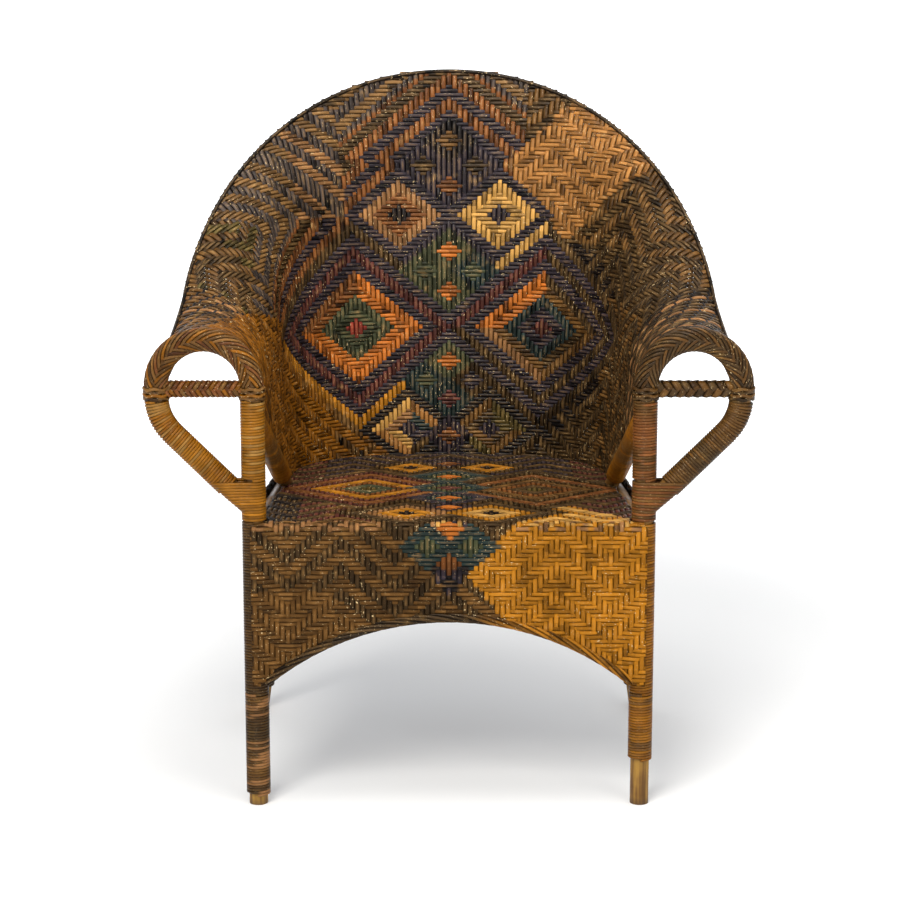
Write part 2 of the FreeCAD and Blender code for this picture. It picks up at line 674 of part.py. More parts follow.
# Binding that covers the corner of strut and post, with its web
web_foot = leg_axis(STRUT_FOOT_Z)
web_top = leg_axis(STRUT_FOOT_Z + 2.2 * WEB_HEIGHT)
web_side = web_foot - strut_way * 2.2 * WEB_HEIGHT
web_face = Part.Face(Part.makePolygon([web_foot, web_top, web_side, web_foot]))
web = web_face.extrude(Vector(0, 1.2 * POLE_R, 0))
web.translate(Vector(0, -0.6 * POLE_R, 0))
web = keep_main(web.cut(rod(post_low, leg_top, WRAP_R + FIT)))
binding = rod(leg_axis(SEAT_HEIGHT + FIT), leg_axis(post_low_z - FIT), WRAP_R).fuse(web)
binding = binding.cut(front_leg).cut(rod(strut_top, strut_foot, POLE_R + FIT)).cut(strut_skin)
corner_web = keep_main(binding.cut(brace_zone))

# Nails at the frame joints, heads sunk flush
NAILS = []


def nail(head, way, length):
    shank = Part.makeCylinder(NAIL_R, length, head, way)
    return shank.fuse(Part.makeCylinder(NAIL_HEAD_R, NAIL_HEAD_T, head, way)).removeSplitter()


def drive(point, way, sink=0.4, length=NAIL_LENGTH):
    """A nail into a pole, through its axis and on along way, on both sides of the chair."""
    way = Vector(way).normalize()
    tool = nail(point - way * (POLE_R - sink), way, length)
    NAILS.append(tool)
    NAILS.append(mirrored(tool))
    return tool


front_nail = drive(front_rail_end, Vector(-1, 0, 0))
side_nail = drive(front_rail_end + Vector(0, 0, -5), rail_way)
rear_nail = drive(rear_knee + Vector(0, 0, -4), rail_way * -1)
scarf_nail = drive(scarf_point, Vector(0, 1, 0), 2.0, SCARF_NAIL_LENGTH)
front_leg = front_leg.cut(front_nail).cut(side_nail).cut(scarf_nail)
front_rail = front_rail.cut(front_nail).cut(mirrored(front_nail))
side_rail = side_rail.cut(side_nail).cut(rear_nail)
rear_leg = rear_leg.cut(rear_nail)
arm_hoop = arm_hoop.cut(scarf_nail)

both("front_leg", keep_main(front_leg))
both("back_leg", keep_main(rear_leg))
add("seat_front_rail", front_rail)
both("seat_side_rail", side_rail)
add("seat_rear_bow", rear_bow)
add("seat_cross_bars", *seat_bars)
both("arm_hoop", keep_main(arm_hoop))
both("arm_crossbar", arm_bar)
both("arm_crossbar_braid", bar_braid)
both("arm_brace", brace)
add("back_rim_hoop", rim_hoop)
add("seat_panel", seat)
add("back_panel", back_panel)
both("arm_panel", arm_panel)
add("front_apron", front_apron)
both("side_apron", side_apron)
add("rear_apron", rear_apron)
add("front_apron_rope", front_rope)
both("side_apron_rope", side_rope)
add("rear_apron_rope", rear_rope)
both("arm_braid", arm_braid)
add("arm_collars_right", *collars)
add("arm_collars_left", *[mirrored(ring) for ring in collars])
both("post_wrap", post_wrap)
both("strut_wrap", strut_wrap)
both("brace_wrap", brace_sleeve)
both("front_leg_wrap", leg_wrap)
add("front_foot_wrap_left", mirrored(foot_wrap_left))
add("front_foot_wrap_right", foot_wrap_right)
both("back_leg_wrap", rear_wrap)
both("corner_web", corner_web)
add("frame_nails", *NAILS)

# The origin goes to the middle of the chair on the floor
box = FreeCAD.BoundBox()
for shape in PARTS.values():
    box.add(shape.optimalBoundingBox())
shift = Vector(0, -box.Center.y, 0)
os.makedirs("parts", exist_ok=True)
for name, shape in PARTS.items():
    shape.translate(shift)
    shape.exportStep("parts/" + name + ".step")
    b = shape.optimalBoundingBox()
    print(f"{name:22s} solids {len(shape.Solids):2d} valid {shape.isValid()} vol {shape.Volume:10.0f}",
          f"x {b.XMin:7.1f} {b.XMax:7.1f} y {b.YMin:7.1f} {b.YMax:7.1f} z {b.ZMin:7.1f} {b.ZMax:7.1f}")
print(f"front legs' plane at Y {shift.y:.3f}; size {box.XLength:.1f} x {box.YLength:.1f} x {box.ZLength:.1f}")
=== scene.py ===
import math

import bmesh
import bpy
import numpy as np
from bpy.props import FloatProperty, FloatVectorProperty, IntProperty, PointerProperty
from mathutils import Matrix, Vector


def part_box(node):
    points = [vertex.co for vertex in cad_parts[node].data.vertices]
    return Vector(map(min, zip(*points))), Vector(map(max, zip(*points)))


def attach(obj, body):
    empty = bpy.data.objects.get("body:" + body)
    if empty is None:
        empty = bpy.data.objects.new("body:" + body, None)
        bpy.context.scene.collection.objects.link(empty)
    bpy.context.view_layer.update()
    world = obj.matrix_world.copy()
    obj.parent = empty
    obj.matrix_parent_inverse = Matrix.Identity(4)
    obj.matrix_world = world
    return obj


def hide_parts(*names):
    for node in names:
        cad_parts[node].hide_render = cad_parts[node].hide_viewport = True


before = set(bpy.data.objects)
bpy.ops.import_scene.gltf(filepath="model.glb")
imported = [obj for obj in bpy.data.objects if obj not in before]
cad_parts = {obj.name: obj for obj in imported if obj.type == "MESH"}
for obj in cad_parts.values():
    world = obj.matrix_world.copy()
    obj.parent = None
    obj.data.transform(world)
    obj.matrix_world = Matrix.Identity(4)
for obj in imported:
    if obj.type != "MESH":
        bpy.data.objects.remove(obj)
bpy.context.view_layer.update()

bl_info = {
    "name": "Wicker Armchair",
    "version": (1, 0, 0),
    "blender": (4, 5, 0),
    "location": "View3D > Sidebar > Wicker Armchair",
    "description": "Weaves, wraps and finishes a wicker armchair on its pole frame",
    "category": "Object",
}

# The front legs' axis and the pole's thickness come from the frame.
leg_low, leg_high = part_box("front_leg_right")
LEG_X = (leg_low.x + leg_high.x) / 2
LEG_Y = (leg_low.y + leg_high.y) / 2
POLE_R = (leg_high.x - leg_low.x) / 2

# The woven sheets follow the frame's sheets, so their sizes are fixed. Depths count from the front legs' axis.
SEAT_Z = 0.407
SHEET_T = 0.007
SHELL_Z = SEAT_Z - SHEET_T
ARM_EDGE_Z = 0.567
EDGE_DEPTH = 0.0133
BACK_Z = 1.008
# The rim over the arms: its height at the front, its slope, and the depth where it turns up to the back.
ARM_RIM_Z = 0.594
ARM_RIM_SLOPE = 0.35
RIM_BEND = 0.24
RIM_BEND_SOFT = 0.05
# Outlines from above: depth of the back, depth of the corners, half width, squareness and half width at the front.
BASE_U = (0.489, 0.3, 0.24, 2.5, LEG_X)
RIM_U = (0.61, 0.222, 0.3855, 2.05, LEG_X + 0.13)
# Degrees that the back leans at its foot and turns out at its rim. The turn goes from back to arm by a power.
LEAN = 7.5
FLARE = (18.0, 180.0, 2.2)

# The seat and its aprons. An apron's arch has its height at the middle and at the ends.
NOSE_R = 0.01
EDGE_CLEAR = 0.003
POST_CLEAR = 0.0175
SEAT_SIDE_CLEAR = 0.002
APRON_DEPTH = -0.0148
APRON_ARCH = (0.272, 0.168)
APRON_TOP = 0.3997
APRON_OVERLAP = 0.001
APRON_PAST_LEG = 0.004
SIDE_APRON_START = 0.0125
REAR_APRON_SHARE = 0.42
REAR_APRON_CLEAR = 0.004
# Over a leg's wrapping the front apron comes forward, from this far away, and then falls back by the square.
LEG_BULGE = 0.0052
LEG_BULGE_RUN = 0.034
LEG_BULGE_FALL = 26

# Poles. The strut's slant is its length for a height, near its foot.
LEG_TOP = 0.7
ARCH_R = 0.065
ARCH_Z = 0.592
STRUT_FOOT_Z = 0.42
STRUT_BEND_R = 0.07
STRUT_DROP = 0.014
STRUT_SLANT = 1.12
REAR_FOOT = Vector((0.303, 0.442, 0.0))
REAR_KNEE = Vector((0.248, 0.398, 0.3887))
REAR_LEG_CLEAR = 0.0197
BRACE_R = 0.0105
CROSSBAR_R = 0.008
SIDES = ((-1.0, "left"), (1.0, "right"))
FRONT = (0.0, -1.0, 0.0)

# The tubes that strands are made from, side by side on the loom.
STRAND_SIDES = 6
LOOM_GAP = 4.0
STEPS_PER_CROSSING = 2

# The weave: strands that one strand passes over at a time, stakes from one turn of the herringbone to the next,
# and the rise of a strand that lies above the others all along.
FLOAT = 3
SLANT_TURN = 10
ON_TOP = 0.9

# Cane, plaits and ropes. A thickness is half of the strand's, and so are the sizes of border and collar. A fill is
# the half width as a share of the pitch.
SNUG = 0.0003
CANE_T = 0.0021
CANE_FILL = 0.6
CANE_STEPS = 16
CANE_LAP = 0.0015
BRACE_CANE_START = 0.012
CORNER_T = 0.0019
CORNER_FILL = 0.62
CORNER_OFF = 0.0022
CORNER_SWELL = 0.0028
CORNER_SWELL_RUN = 0.02
BORDER_SIZES = (0.003, 0.0022)
BORDER_OFF = 0.0026
BORDER_BELOW_RIM = 0.0028
HOOP_STRANDS = 17
HOOP_PERIOD = 0.15
HOOP_WIDTH = 0.0205
HOOP_T = 0.0015
HOOP_STEPS = 48
BAR_PERIOD = 0.036
BAR_WIDTH = 0.0115
BAR_T = 0.00165
BAR_STEPS = 24
BAR_CLEAR = 0.001
COLLAR_STRANDS = 4
COLLAR_SIZES = (0.0029, 0.0022)
COLLAR_OFF = 0.0033
COLLAR_STAGGER = 0.0006
COLLAR_WAVE = 0.0012
ROPE_R = 0.007
ROPE_T = ROPE_R * 0.36
ROPE_LAY = 0.16
ROPE_STEPS = 20
ROPE_STRANDS = 6
ROPE_TINTS = (1.25, 0.7, 0.95)
ROPE_END = 0.0135
# A side rope stops short of the rear leg, and turns in at the front leg over a short run.
SIDE_ROPE_END = 0.014
SIDE_ROPE_TUCK = 0.006
SIDE_ROPE_TUCK_RUN = 0.05

# Dyes with their strengths. Wound cane has two that take turns along the pole, and one for its rubbed turns.
CANE_DYES = {
    "left": {
        "post": "ochre 0.8 ochre 0.62 gold 0.7",
        "strut": "ochre 0.8 amber 1 gold 0.6",
        "foot": "umber 0.8 brown 0.8 tan 1.2",
        "leg": "umber 0.8 brown 0.6 umber 1.3",
        "rear_leg": "umber 1 brown 1 umber 1.3",
        "brace": "amber 1 brown 1.1 amber 1.2",
        "corner": "ochre 0.85 ochre 0.7",
    },
    "right": {
        "post": "russet 1 brown 0.7 russet 1.3",
        "strut": "umber 0.9 brown 0.8 brown 1",
        "foot": "amber 1.1 brown 1 ochre 0.8",
        "leg": "amber 0.8 amber 1.1 ochre 0.8",
        "rear_leg": "umber 1 brown 1 umber 1.3",
        "brace": "amber 1 brown 1.1 amber 1.2",
        "corner": "russet 1 brown 1",
    },
}
HOOP_DYES = {
    "left": "brown 1 amber 0.9 brown 0.8 brown 1.3 russet 0.8",
    "right": "umber 1 brown 0.8 umber 0.8 brown 0.6 umber 1.3",
}
BAR_DYES = {
    "left": "russet 1 amber 1 russet 0.8 brown 1 russet 1",
    "right": "brown 1 brown 0.7 umber 1",
}


def dye_setting(name, note, colour):
    return FloatVectorProperty(name=name, description=note, subtype="COLOR", default=colour)


def length_setting(name, note, metres):
    return FloatProperty(name=name, description=note, default=metres, unit="LENGTH")


class ReedDyes(bpy.types.PropertyGroup):
    """Dyes of the reed."""

    black: dye_setting("Black", "Blackened reed", (0.014, 0.011, 0.011))
    navy: dye_setting("Navy", "Blue black reed", (0.035, 0.027, 0.036))
    slate: dye_setting("Slate", "Faded blue black reed", (0.058, 0.043, 0.038))
    teal: dye_setting("Teal", "Blue green reed", (0.022, 0.040, 0.038))
    green: dye_setting("Green", "Leaf green reed", (0.058, 0.066, 0.032))
    olive: dye_setting("Olive", "Olive reed", (0.095, 0.068, 0.018))
    umber: dye_setting("Umber", "Dark brown reed", (0.062, 0.034, 0.012))
    brown: dye_setting("Brown", "Brown reed", (0.135, 0.062, 0.015))
    hazel: dye_setting("Hazel", "Light brown reed", (0.180, 0.092, 0.030))
    russet: dye_setting("Russet", "Red brown reed", (0.190, 0.064, 0.016))
    maroon: dye_setting("Maroon", "Dark red reed", (0.108, 0.031, 0.024))
    red: dye_setting("Red", "Red reed", (0.260, 0.035, 0.022))
    orange: dye_setting("Orange", "Orange reed", (0.500, 0.140, 0.018))
    amber: dye_setting("Amber", "Varnished amber reed", (0.250, 0.088, 0.004))
    tan: dye_setting("Tan", "Rosy tan reed", (0.280, 0.132, 0.048))
    honey: dye_setting("Honey", "Pale golden brown reed", (0.370, 0.160, 0.040))
    ochre: dye_setting("Ochre", "Golden ochre reed", (0.450, 0.175, 0.010))
    gold: dye_setting("Gold", "Straw gold reed", (0.580, 0.310, 0.075))


class WeaveSizes(bpy.types.PropertyGroup):
    """Sizes of the reed and the cane."""

    stakes: IntProperty(name="Stakes", description="Upright stakes in half of the back and one arm", default=91)
    row_pitch: length_setting("Row pitch", "Height of one woven row at the seat", 0.00575)
    row_growth: length_setting("Row growth", "How much each row is higher than the last", 0.000012)
    seat_pitch: length_setting("Seat pitch", "Width of one stake in seat and aprons", 0.0074)
    seat_row: length_setting("Seat row", "Depth of one row in the seat", 0.0064)
    apron_row: length_setting("Apron row", "Height of one row in the aprons", 0.0061)
    fill: FloatProperty(name="Fill", description="Reed width as a share of its pitch", default=1.04, subtype="FACTOR")
    lift: length_setting("Lift", "How far a reed rises over another", 0.0012)
    reed: length_setting("Reed thickness", "Half the thickness of a flat reed", 0.0015)
    cane: length_setting("Cane pitch", "Width of one turn of the wrapping cane", 0.004)


def dye_table(settings):
    """Every dye as a row of numbers, and each dye's row number by name."""
    names = list(ReedDyes.__annotations__)
    return np.array([tuple(getattr(settings, name)) for name in names]), {name: k for k, name in enumerate(names)}


def dyes_by_name(settings):
    table, number = dye_table(settings)
    return {name: table[k] for name, k in number.items()}


def tinted(tint, text):
    """Dyes from words such as "ochre 0.8 gold 0.7", each with its strength."""
    words = text.split()
    return [tint[name] * float(strength) for name, strength in zip(words[::2], words[1::2])]


def unit(vectors):
    return vectors / np.maximum(np.linalg.norm(vectors, axis=-1, keepdims=True), 1e-12)


def vec(*values):
    return np.array(values, float)


def run_along(points):
    """Distance of each point from the first, along the line."""
    return np.concatenate([[0.0], np.cumsum(np.linalg.norm(np.diff(points, axis=0), axis=1))])


class Route:
    """The way of one strand: its middle, the side that faces out, its half sizes and its dye at each step."""

    def __init__(self, middle, outward, half_width, half_thick, dye, rise=ON_TOP):
        steps = len(middle)
        self.middle = np.asarray(middle, float)
        self.outward = np.broadcast_to(np.asarray(outward, float), (steps, 3))
        self.half_width = np.broadcast_to(half_width, steps)
        self.half_thick = np.broadcast_to(half_thick, steps)
        self.dye = np.broadcast_to(dye, (steps, 3))
        self.rise = np.broadcast_to(rise, steps)
        self.along = run_along(self.middle)
        self.heading = np.gradient(self.middle, axis=0)


def rolled_tubes(name, counts):
    """A mesh of straight tubes side by side on the loom, each with its own count of steps."""
    bm = bmesh.new()
    for number, count in enumerate(counts):
        bmesh.ops.create_grid(bm, x_segments=count - 1, y_segments=STRAND_SIDES, size=1.0,
                              matrix=Matrix.Translation((0.0, 0.0, number)))
    for vert in bm.verts:
        number = round(vert.co.z)
        angle = math.pi * (vert.co.y + 1.0)
        step = (vert.co.x + 1.0) / 2.0 * (counts[number] - 1)
        vert.co = (step, math.cos(angle) + LOOM_GAP * number, math.sin(angle))
    bmesh.ops.remove_doubles(bm, verts=bm.verts, dist=0.01)
    bmesh.ops.holes_fill(bm, edges=[edge for edge in bm.edges if edge.is_boundary], sides=STRAND_SIDES)
    bmesh.ops.recalc_face_normals(bm, faces=bm.faces)
    mesh = bpy.data.meshes.new(name)
    bm.to_mesh(mesh)
    bm.free()
    return mesh


def lay_strands(name, routes, finish, *nodes):
    """One piece of many strands: a tube for each is rolled up on the loom and then laid on its route."""
    counts = [len(route.middle) for route in routes]
    mesh = rolled_tubes(name, counts)
    spots = np.empty(len(mesh.vertices) * 3, np.float32)
    mesh.vertices.foreach_get("co", spots)
    spots = spots.reshape(-1, 3).astype(float)
    number = np.rint(spots[:, 1] / LOOM_GAP).astype(int)
    starts = np.concatenate([[0], np.cumsum(counts)])
    place = starts[number] + np.rint(spots[:, 0]).astype(int)
    across = spots[:, 1] - LOOM_GAP * number
    above = spots[:, 2]

    def joined(part):
        return np.concatenate([getattr(route, part) for route in routes])

    forward = unit(joined("heading"))
    outward = joined("outward")
    outward = unit(outward - forward * np.sum(outward * forward, axis=1, keepdims=True))
    sideways = np.cross(outward, forward)
    laid = joined("middle")[place]
    laid = laid + sideways[place] * across[:, None] * joined("half_width")[place][:, None]
    laid = laid + outward[place] * above[:, None] * joined("half_thick")[place][:, None]
    mesh.vertices.foreach_set("co", laid.astype(np.float32).ravel())
    colour = mesh.attributes.new("dye", "FLOAT_COLOR", "POINT")
    dye = np.column_stack([joined("dye")[place], joined("rise")[place]])
    colour.data.foreach_set("color", dye.astype(np.float32).ravel())
    lay = mesh.attributes.new("lay", "FLOAT_VECTOR", "POINT")
    spread = np.column_stack([joined("along")[place], across, number])
    lay.data.foreach_set("vector", spread.astype(np.float32).ravel())
    mesh.update()
    mesh.shade_smooth()
    finish_piece(name, mesh, finish, nodes)


def finish_piece(name, mesh, finish, nodes):
    """Make the mesh a piece of the chair that stands for its CAD nodes."""
    mesh.materials.append(finishes()[finish])
    piece = bpy.data.objects.new(name, mesh)
    bpy.context.scene.collection.objects.link(piece)
    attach(piece, "root")
    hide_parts(*nodes)


class Shell:
    """Middle surface of the woven back and arms, by share of the way round and distance up from the seat."""

    def __init__(self):
        self.base = self.half_u(*BASE_U)
        self.rim = self.half_u(*RIM_U)
        self.corner = self.base[0][-2]

    @staticmethod
    def half_u(back, corner, wide, power, front):
        angle = np.linspace(0, math.pi / 2, 241)
        x = np.append(wide * np.sin(angle) ** (2 / power), front)
        bend = np.maximum(np.cos(angle), 0.0) ** (2 / power)
        y = np.append(corner + (back - corner) * bend, EDGE_DEPTH)
        run = np.concatenate([[0.0], np.cumsum(np.hypot(np.diff(x), np.diff(y)))])
        return run / run[-1], x, y

    @staticmethod
    def spot(curve, part):
        shares, x, y = curve
        return np.stack([np.interp(part, shares, x), np.interp(part, shares, y)], -1)

    @staticmethod
    def ramp(y):
        return RIM_BEND_SOFT * np.log1p(np.exp((y - RIM_BEND) / RIM_BEND_SOFT))

    def section(self, share):
        """Foot, outward way, angles, wall, bend and limits of the upright section at a share."""
        part = np.abs(share)
        foot = self.spot(self.base, part)
        rim = self.spot(self.rim, part)
        out = rim - foot
        reach = np.linalg.norm(out, axis=-1)
        out = out / reach[..., None]
        back = RIM_U[0]
        top = BACK_Z - ARM_RIM_Z - ARM_RIM_SLOPE * back
        rise = ARM_RIM_Z + ARM_RIM_SLOPE * rim[..., 1] + top * self.ramp(rim[..., 1]) / self.ramp(back) - SHELL_Z
        a = np.radians(LEAN * (1 - part * part))
        b = np.radians(FLARE[0] + (FLARE[1] - FLARE[0]) * part ** FLARE[2])
        side = np.cos(a) - np.cos(b)
        up = np.sin(b) - np.sin(a)
        turn = np.cos(a) * side - np.sin(a) * up
        bend = (np.cos(a) * reach - np.sin(a) * rise) / turn
        wall = (side * rise - up * reach) / turn
        run = np.clip((part - self.corner) / (1 - self.corner), 0, None)
        low = run * (ARM_EDGE_Z - SHELL_Z) / np.cos(a)
        return foot, out, a, b, wall, bend, low, wall + bend * (b - a)

    def at(self, share, height):
        foot, out, a, _, wall, bend = self.section(share)[:6]
        on_wall = np.minimum(height, wall)
        angle = a + np.clip(height - wall, 0, None) / bend
        over = height > wall
        q = on_wall * np.sin(a) + np.where(over, bend * (np.cos(a) - np.cos(angle)), 0)
        z = on_wall * np.cos(a) + np.where(over, bend * (np.sin(angle) - np.sin(a)), 0)
        x = np.sign(share) * (foot[..., 0] + out[..., 0] * q)
        return np.stack([x, LEG_Y + foot[..., 1] + out[..., 1] * q, SHELL_Z + z], -1)

    def inside(self, share, height):
        low, high = self.section(share)[-2:]
        return np.minimum(height - low, high - height)


def herringbone(i, j):
    """Slant of the ground weave, which turns round every few stakes."""
    return np.abs((i + SLANT_TURN) % (2 * SLANT_TURN) - SLANT_TURN) + j


def twill(i, j):
    """Whether the stake lies over the row at each crossing of the ground weave."""
    return herringbone(i, j) // FLOAT % 2 == 0


class Ground:
    """The dyes of stake and row at each crossing of a sheet, before its diamonds."""

    def __init__(self, shape, number):
        self.number = number
        self.stake = np.full(shape, number["umber"])
        self.row = self.stake

    def paint(self, where, stake, row):
        self.stake = np.where(where, self.number[stake], self.stake)
        self.row = np.where(where, self.number[row], self.row)


class Motif:
    """A woven diamond: rings of a few strands each, dyed from the middle outwards.

    A ring with four dyes has them in its upper left, upper right, lower left and lower right quarter.
    """

    def __init__(self, stake, row, rings, bars=False):
        self.stake = stake
        self.row = row
        self.rings = [ring.split("/") if "/" in ring else [ring] * 4 for ring in rings.split()]
        self.bars = bars

    def away(self, i, j):
        return np.abs(i - self.stake) + np.abs(j - self.row)


class Pattern:
    """A sheet's weave: its ground dyes, which strand lies on top, and layers of diamonds over both."""

    def __init__(self, ground, layers=(), stake_over=twill):
        self.ground = ground
        self.layers = layers
        self.stake_over = stake_over

    def woven(self, i, j, number):
        """Whether the stake lies over the row at each crossing, and the dyes of both."""
        over = self.stake_over(i, j)
        dyed = Ground(i.shape, number)
        self.ground(i, j, dyed.paint)
        for layer in self.layers:
            nearest = np.min([motif.away(i, j) for motif in layer], axis=0)
            for motif in layer:
                away = motif.away(i, j)
                ring = np.where(away <= nearest, away // FLOAT, len(motif.rings))
                over = np.where(ring < len(motif.rings), (ring + motif.bars) % 2 == 0, over)
                quarter = (i > motif.stake) + 2 * (j < motif.row)
                for k, names in enumerate(motif.rings):
                    dye = np.choose(quarter, [number[name] for name in names])
                    dyed.stake = np.where(ring == k, dye, dyed.stake)
                    dyed.row = np.where(ring == k, dye, dyed.row)
        return over, dyed.stake, dyed.row


class Cloth:
    """A woven sheet over stake and row numbers: its surface, its limits and its pattern."""

    def __init__(self, place, inside, pattern, stakes, rows, scene):
        self.place = place
        self.inside = inside
        self.stakes = stakes
        self.rows = rows
        self.sizes = scene.chair_weave
        spare = 3
        self.i = np.arange(stakes[0] - spare, stakes[1] + spare + 1)
        self.j = np.arange(rows[0] - spare, rows[1] + spare + 1)
        table, number = dye_table(scene.chair_dyes)
        over, stake_dye, row_dye = pattern.woven(*np.meshgrid(self.i, self.j, indexing="ij"), number)
        self.sign = np.where(over, 1.0, -1.0)
        self.stake_dye = table[stake_dye]
        self.row_dye = table[row_dye]

    def surface(self, i, j):
        """Point, outward direction and local pitches of stakes and rows, from neighbouring points."""
        step = 0.05
        middle = self.place(i, j)
        sideways = self.place(i + step, j) - self.place(i - step, j)
        upwards = self.place(i, j + step) - self.place(i, j - step)
        pitch = np.linalg.norm(sideways, axis=-1) / step / 2, np.linalg.norm(upwards, axis=-1) / step / 2
        return middle, unit(np.cross(sideways, upwards)), pitch

    @staticmethod
    def runs(spots, depth):
        """Stretches along a strand where the sheet has it."""
        inside = depth > 0
        found = []
        start = spots[0] if inside[0] else None
        for k in range(1, len(spots)):
            if inside[k] == inside[k - 1]:
                continue
            cut = spots[k - 1] + (spots[k] - spots[k - 1]) * depth[k - 1] / (depth[k - 1] - depth[k])
            if inside[k]:
                start = cut
            else:
                found.append((start, cut))
        if inside[-1]:
            found.append((start, spots[-1]))
        return [run for run in found if run[1] - run[0] > 1.0]

    def strand(self, upright, number):
        """Routes of one stake or one row."""
        lines = self.j if upright else self.i
        first, last = self.rows if upright else self.stakes
        spots = np.arange(first, last + 0.01, 0.25)
        fixed = np.full(len(spots), float(number))
        depth = self.inside(fixed, spots) if upright else self.inside(spots, fixed)
        k = number - (self.i[0] if upright else self.j[0])
        sign = self.sign[k] if upright else -self.sign[:, k]
        dye = self.stake_dye[k] if upright else self.row_dye[:, k]
        # A strand bends a little before and after it changes sides.
        soft = 0.64 * sign + 0.18 * (np.roll(sign, 1) + np.roll(sign, -1))
        routes = []
        for start, end in self.runs(spots, depth):
            steps = STEPS_PER_CROSSING
            inner = np.arange(math.ceil(start * steps + 0.3), math.floor(end * steps - 0.3) + 1)
            where = np.concatenate([[start], inner / steps, [end]])
            rest = np.full(len(where), float(number))
            middle, outward, pitch = self.surface(rest, where) if upright else self.surface(where, rest)
            rise = np.interp(where, lines, soft)
            # Half way between two crossings a strand has the dye of the one where it lies on top.
            near = np.rint(where - 1e-6).astype(int)
            far = np.where(near > where, near - 1, near + 1)
            swap = (sign[near - lines[0]] < 0) & (sign[far - lines[0]] > 0) & (np.abs(where - near) > 0.4)
            near = np.where(swap, far, near)
            pitch = pitch[0 if upright else 1]
            wide = pitch * self.sizes.fill / 2 * (0.95 + 0.05 * np.clip(np.abs(rise), 0, 1))
            routes.append(Route(middle + outward * (self.sizes.lift * rise)[:, None], outward, wide,
                                self.sizes.reed, dye[near - lines[0]], 0.5 + 0.5 * rise))
        return routes

    def strands(self, upright, first=None, last=None):
        limits = self.stakes if upright else self.rows
        first = limits[0] if first is None else first
        last = limits[1] if last is None else last
        routes = []
        for number in range(first, last + 1):
            routes += self.strand(upright, number)
        return routes


class Sockets:
    """A node socket in arithmetic, and the node tree that it belongs to."""

    def __init__(self, tree, socket=None):
        self.tree = tree
        self.socket = socket

    def node(self, kind, settings=None, out=0, **inputs):
        """A node of any kind: settings first, then values or links by socket name or number."""
        made = self.tree.nodes.new(kind)
        for key, value in (settings or {}).items():
            setattr(made, key, value)
        for key, value in inputs.items():
            target = made.inputs[int(key[1:])] if key[1:].isdigit() else made.inputs[key]
            if isinstance(value, Sockets):
                self.tree.links.new(value.socket, target)
            else:
                target.default_value = value
        return Sockets(self.tree, made.outputs[out])

    def maths(self, operation, *values):
        inputs = {f"n{k}": value for k, value in enumerate(values)}
        return self.node("ShaderNodeMath", {"operation": operation}, **inputs)

    def __add__(self, other):
        return self.maths("ADD", self, other)

    def __radd__(self, other):
        return self.maths("ADD", other, self)

    def __sub__(self, other):
        return self.maths("SUBTRACT", self, other)

    def __rsub__(self, other):
        return self.maths("SUBTRACT", other, self)

    def __mul__(self, other):
        return self.maths("MULTIPLY", self, other)

    def __rmul__(self, other):
        return self.maths("MULTIPLY", other, self)

    def span(self, low, high, to_low=0.0, to_high=1.0):
        """The value moved from one range to another, held at its ends."""
        settings = {"interpolation_type": "SMOOTHSTEP"}
        return self.node("ShaderNodeMapRange", settings, n0=self, n1=low, n2=high, n3=to_low, n4=to_high)

    def blend(self, first, second):
        """Two colours mixed by this value."""
        return self.node("ShaderNodeMix", {"data_type": "RGBA"}, out=2, n0=self, n6=first, n7=second)

    def other(self, name):
        """Another output of the node that this socket is on."""
        return Sockets(self.tree, self.socket.node.outputs[name])

    def scaled(self, factors):
        return self.node("ShaderNodeVectorMath", {"operation": "MULTIPLY"}, n0=self, n1=factors)

    def noise(self, scale, detail):
        return self.node("ShaderNodeTexNoise", Vector=self, Scale=scale, Detail=detail)

    def size(self):
        return self.maths("ABSOLUTE", self)


def new_finish(name):
    """An empty material with its shader, and its sockets."""
    finish = bpy.data.materials.new(name)
    finish.use_nodes = True
    tree = finish.node_tree
    shader = tree.nodes["Principled BSDF"]
    return finish, Sockets(tree), shader


def feed(sockets, shader, name, value):
    sockets.tree.links.new(value.socket, shader.inputs[name])


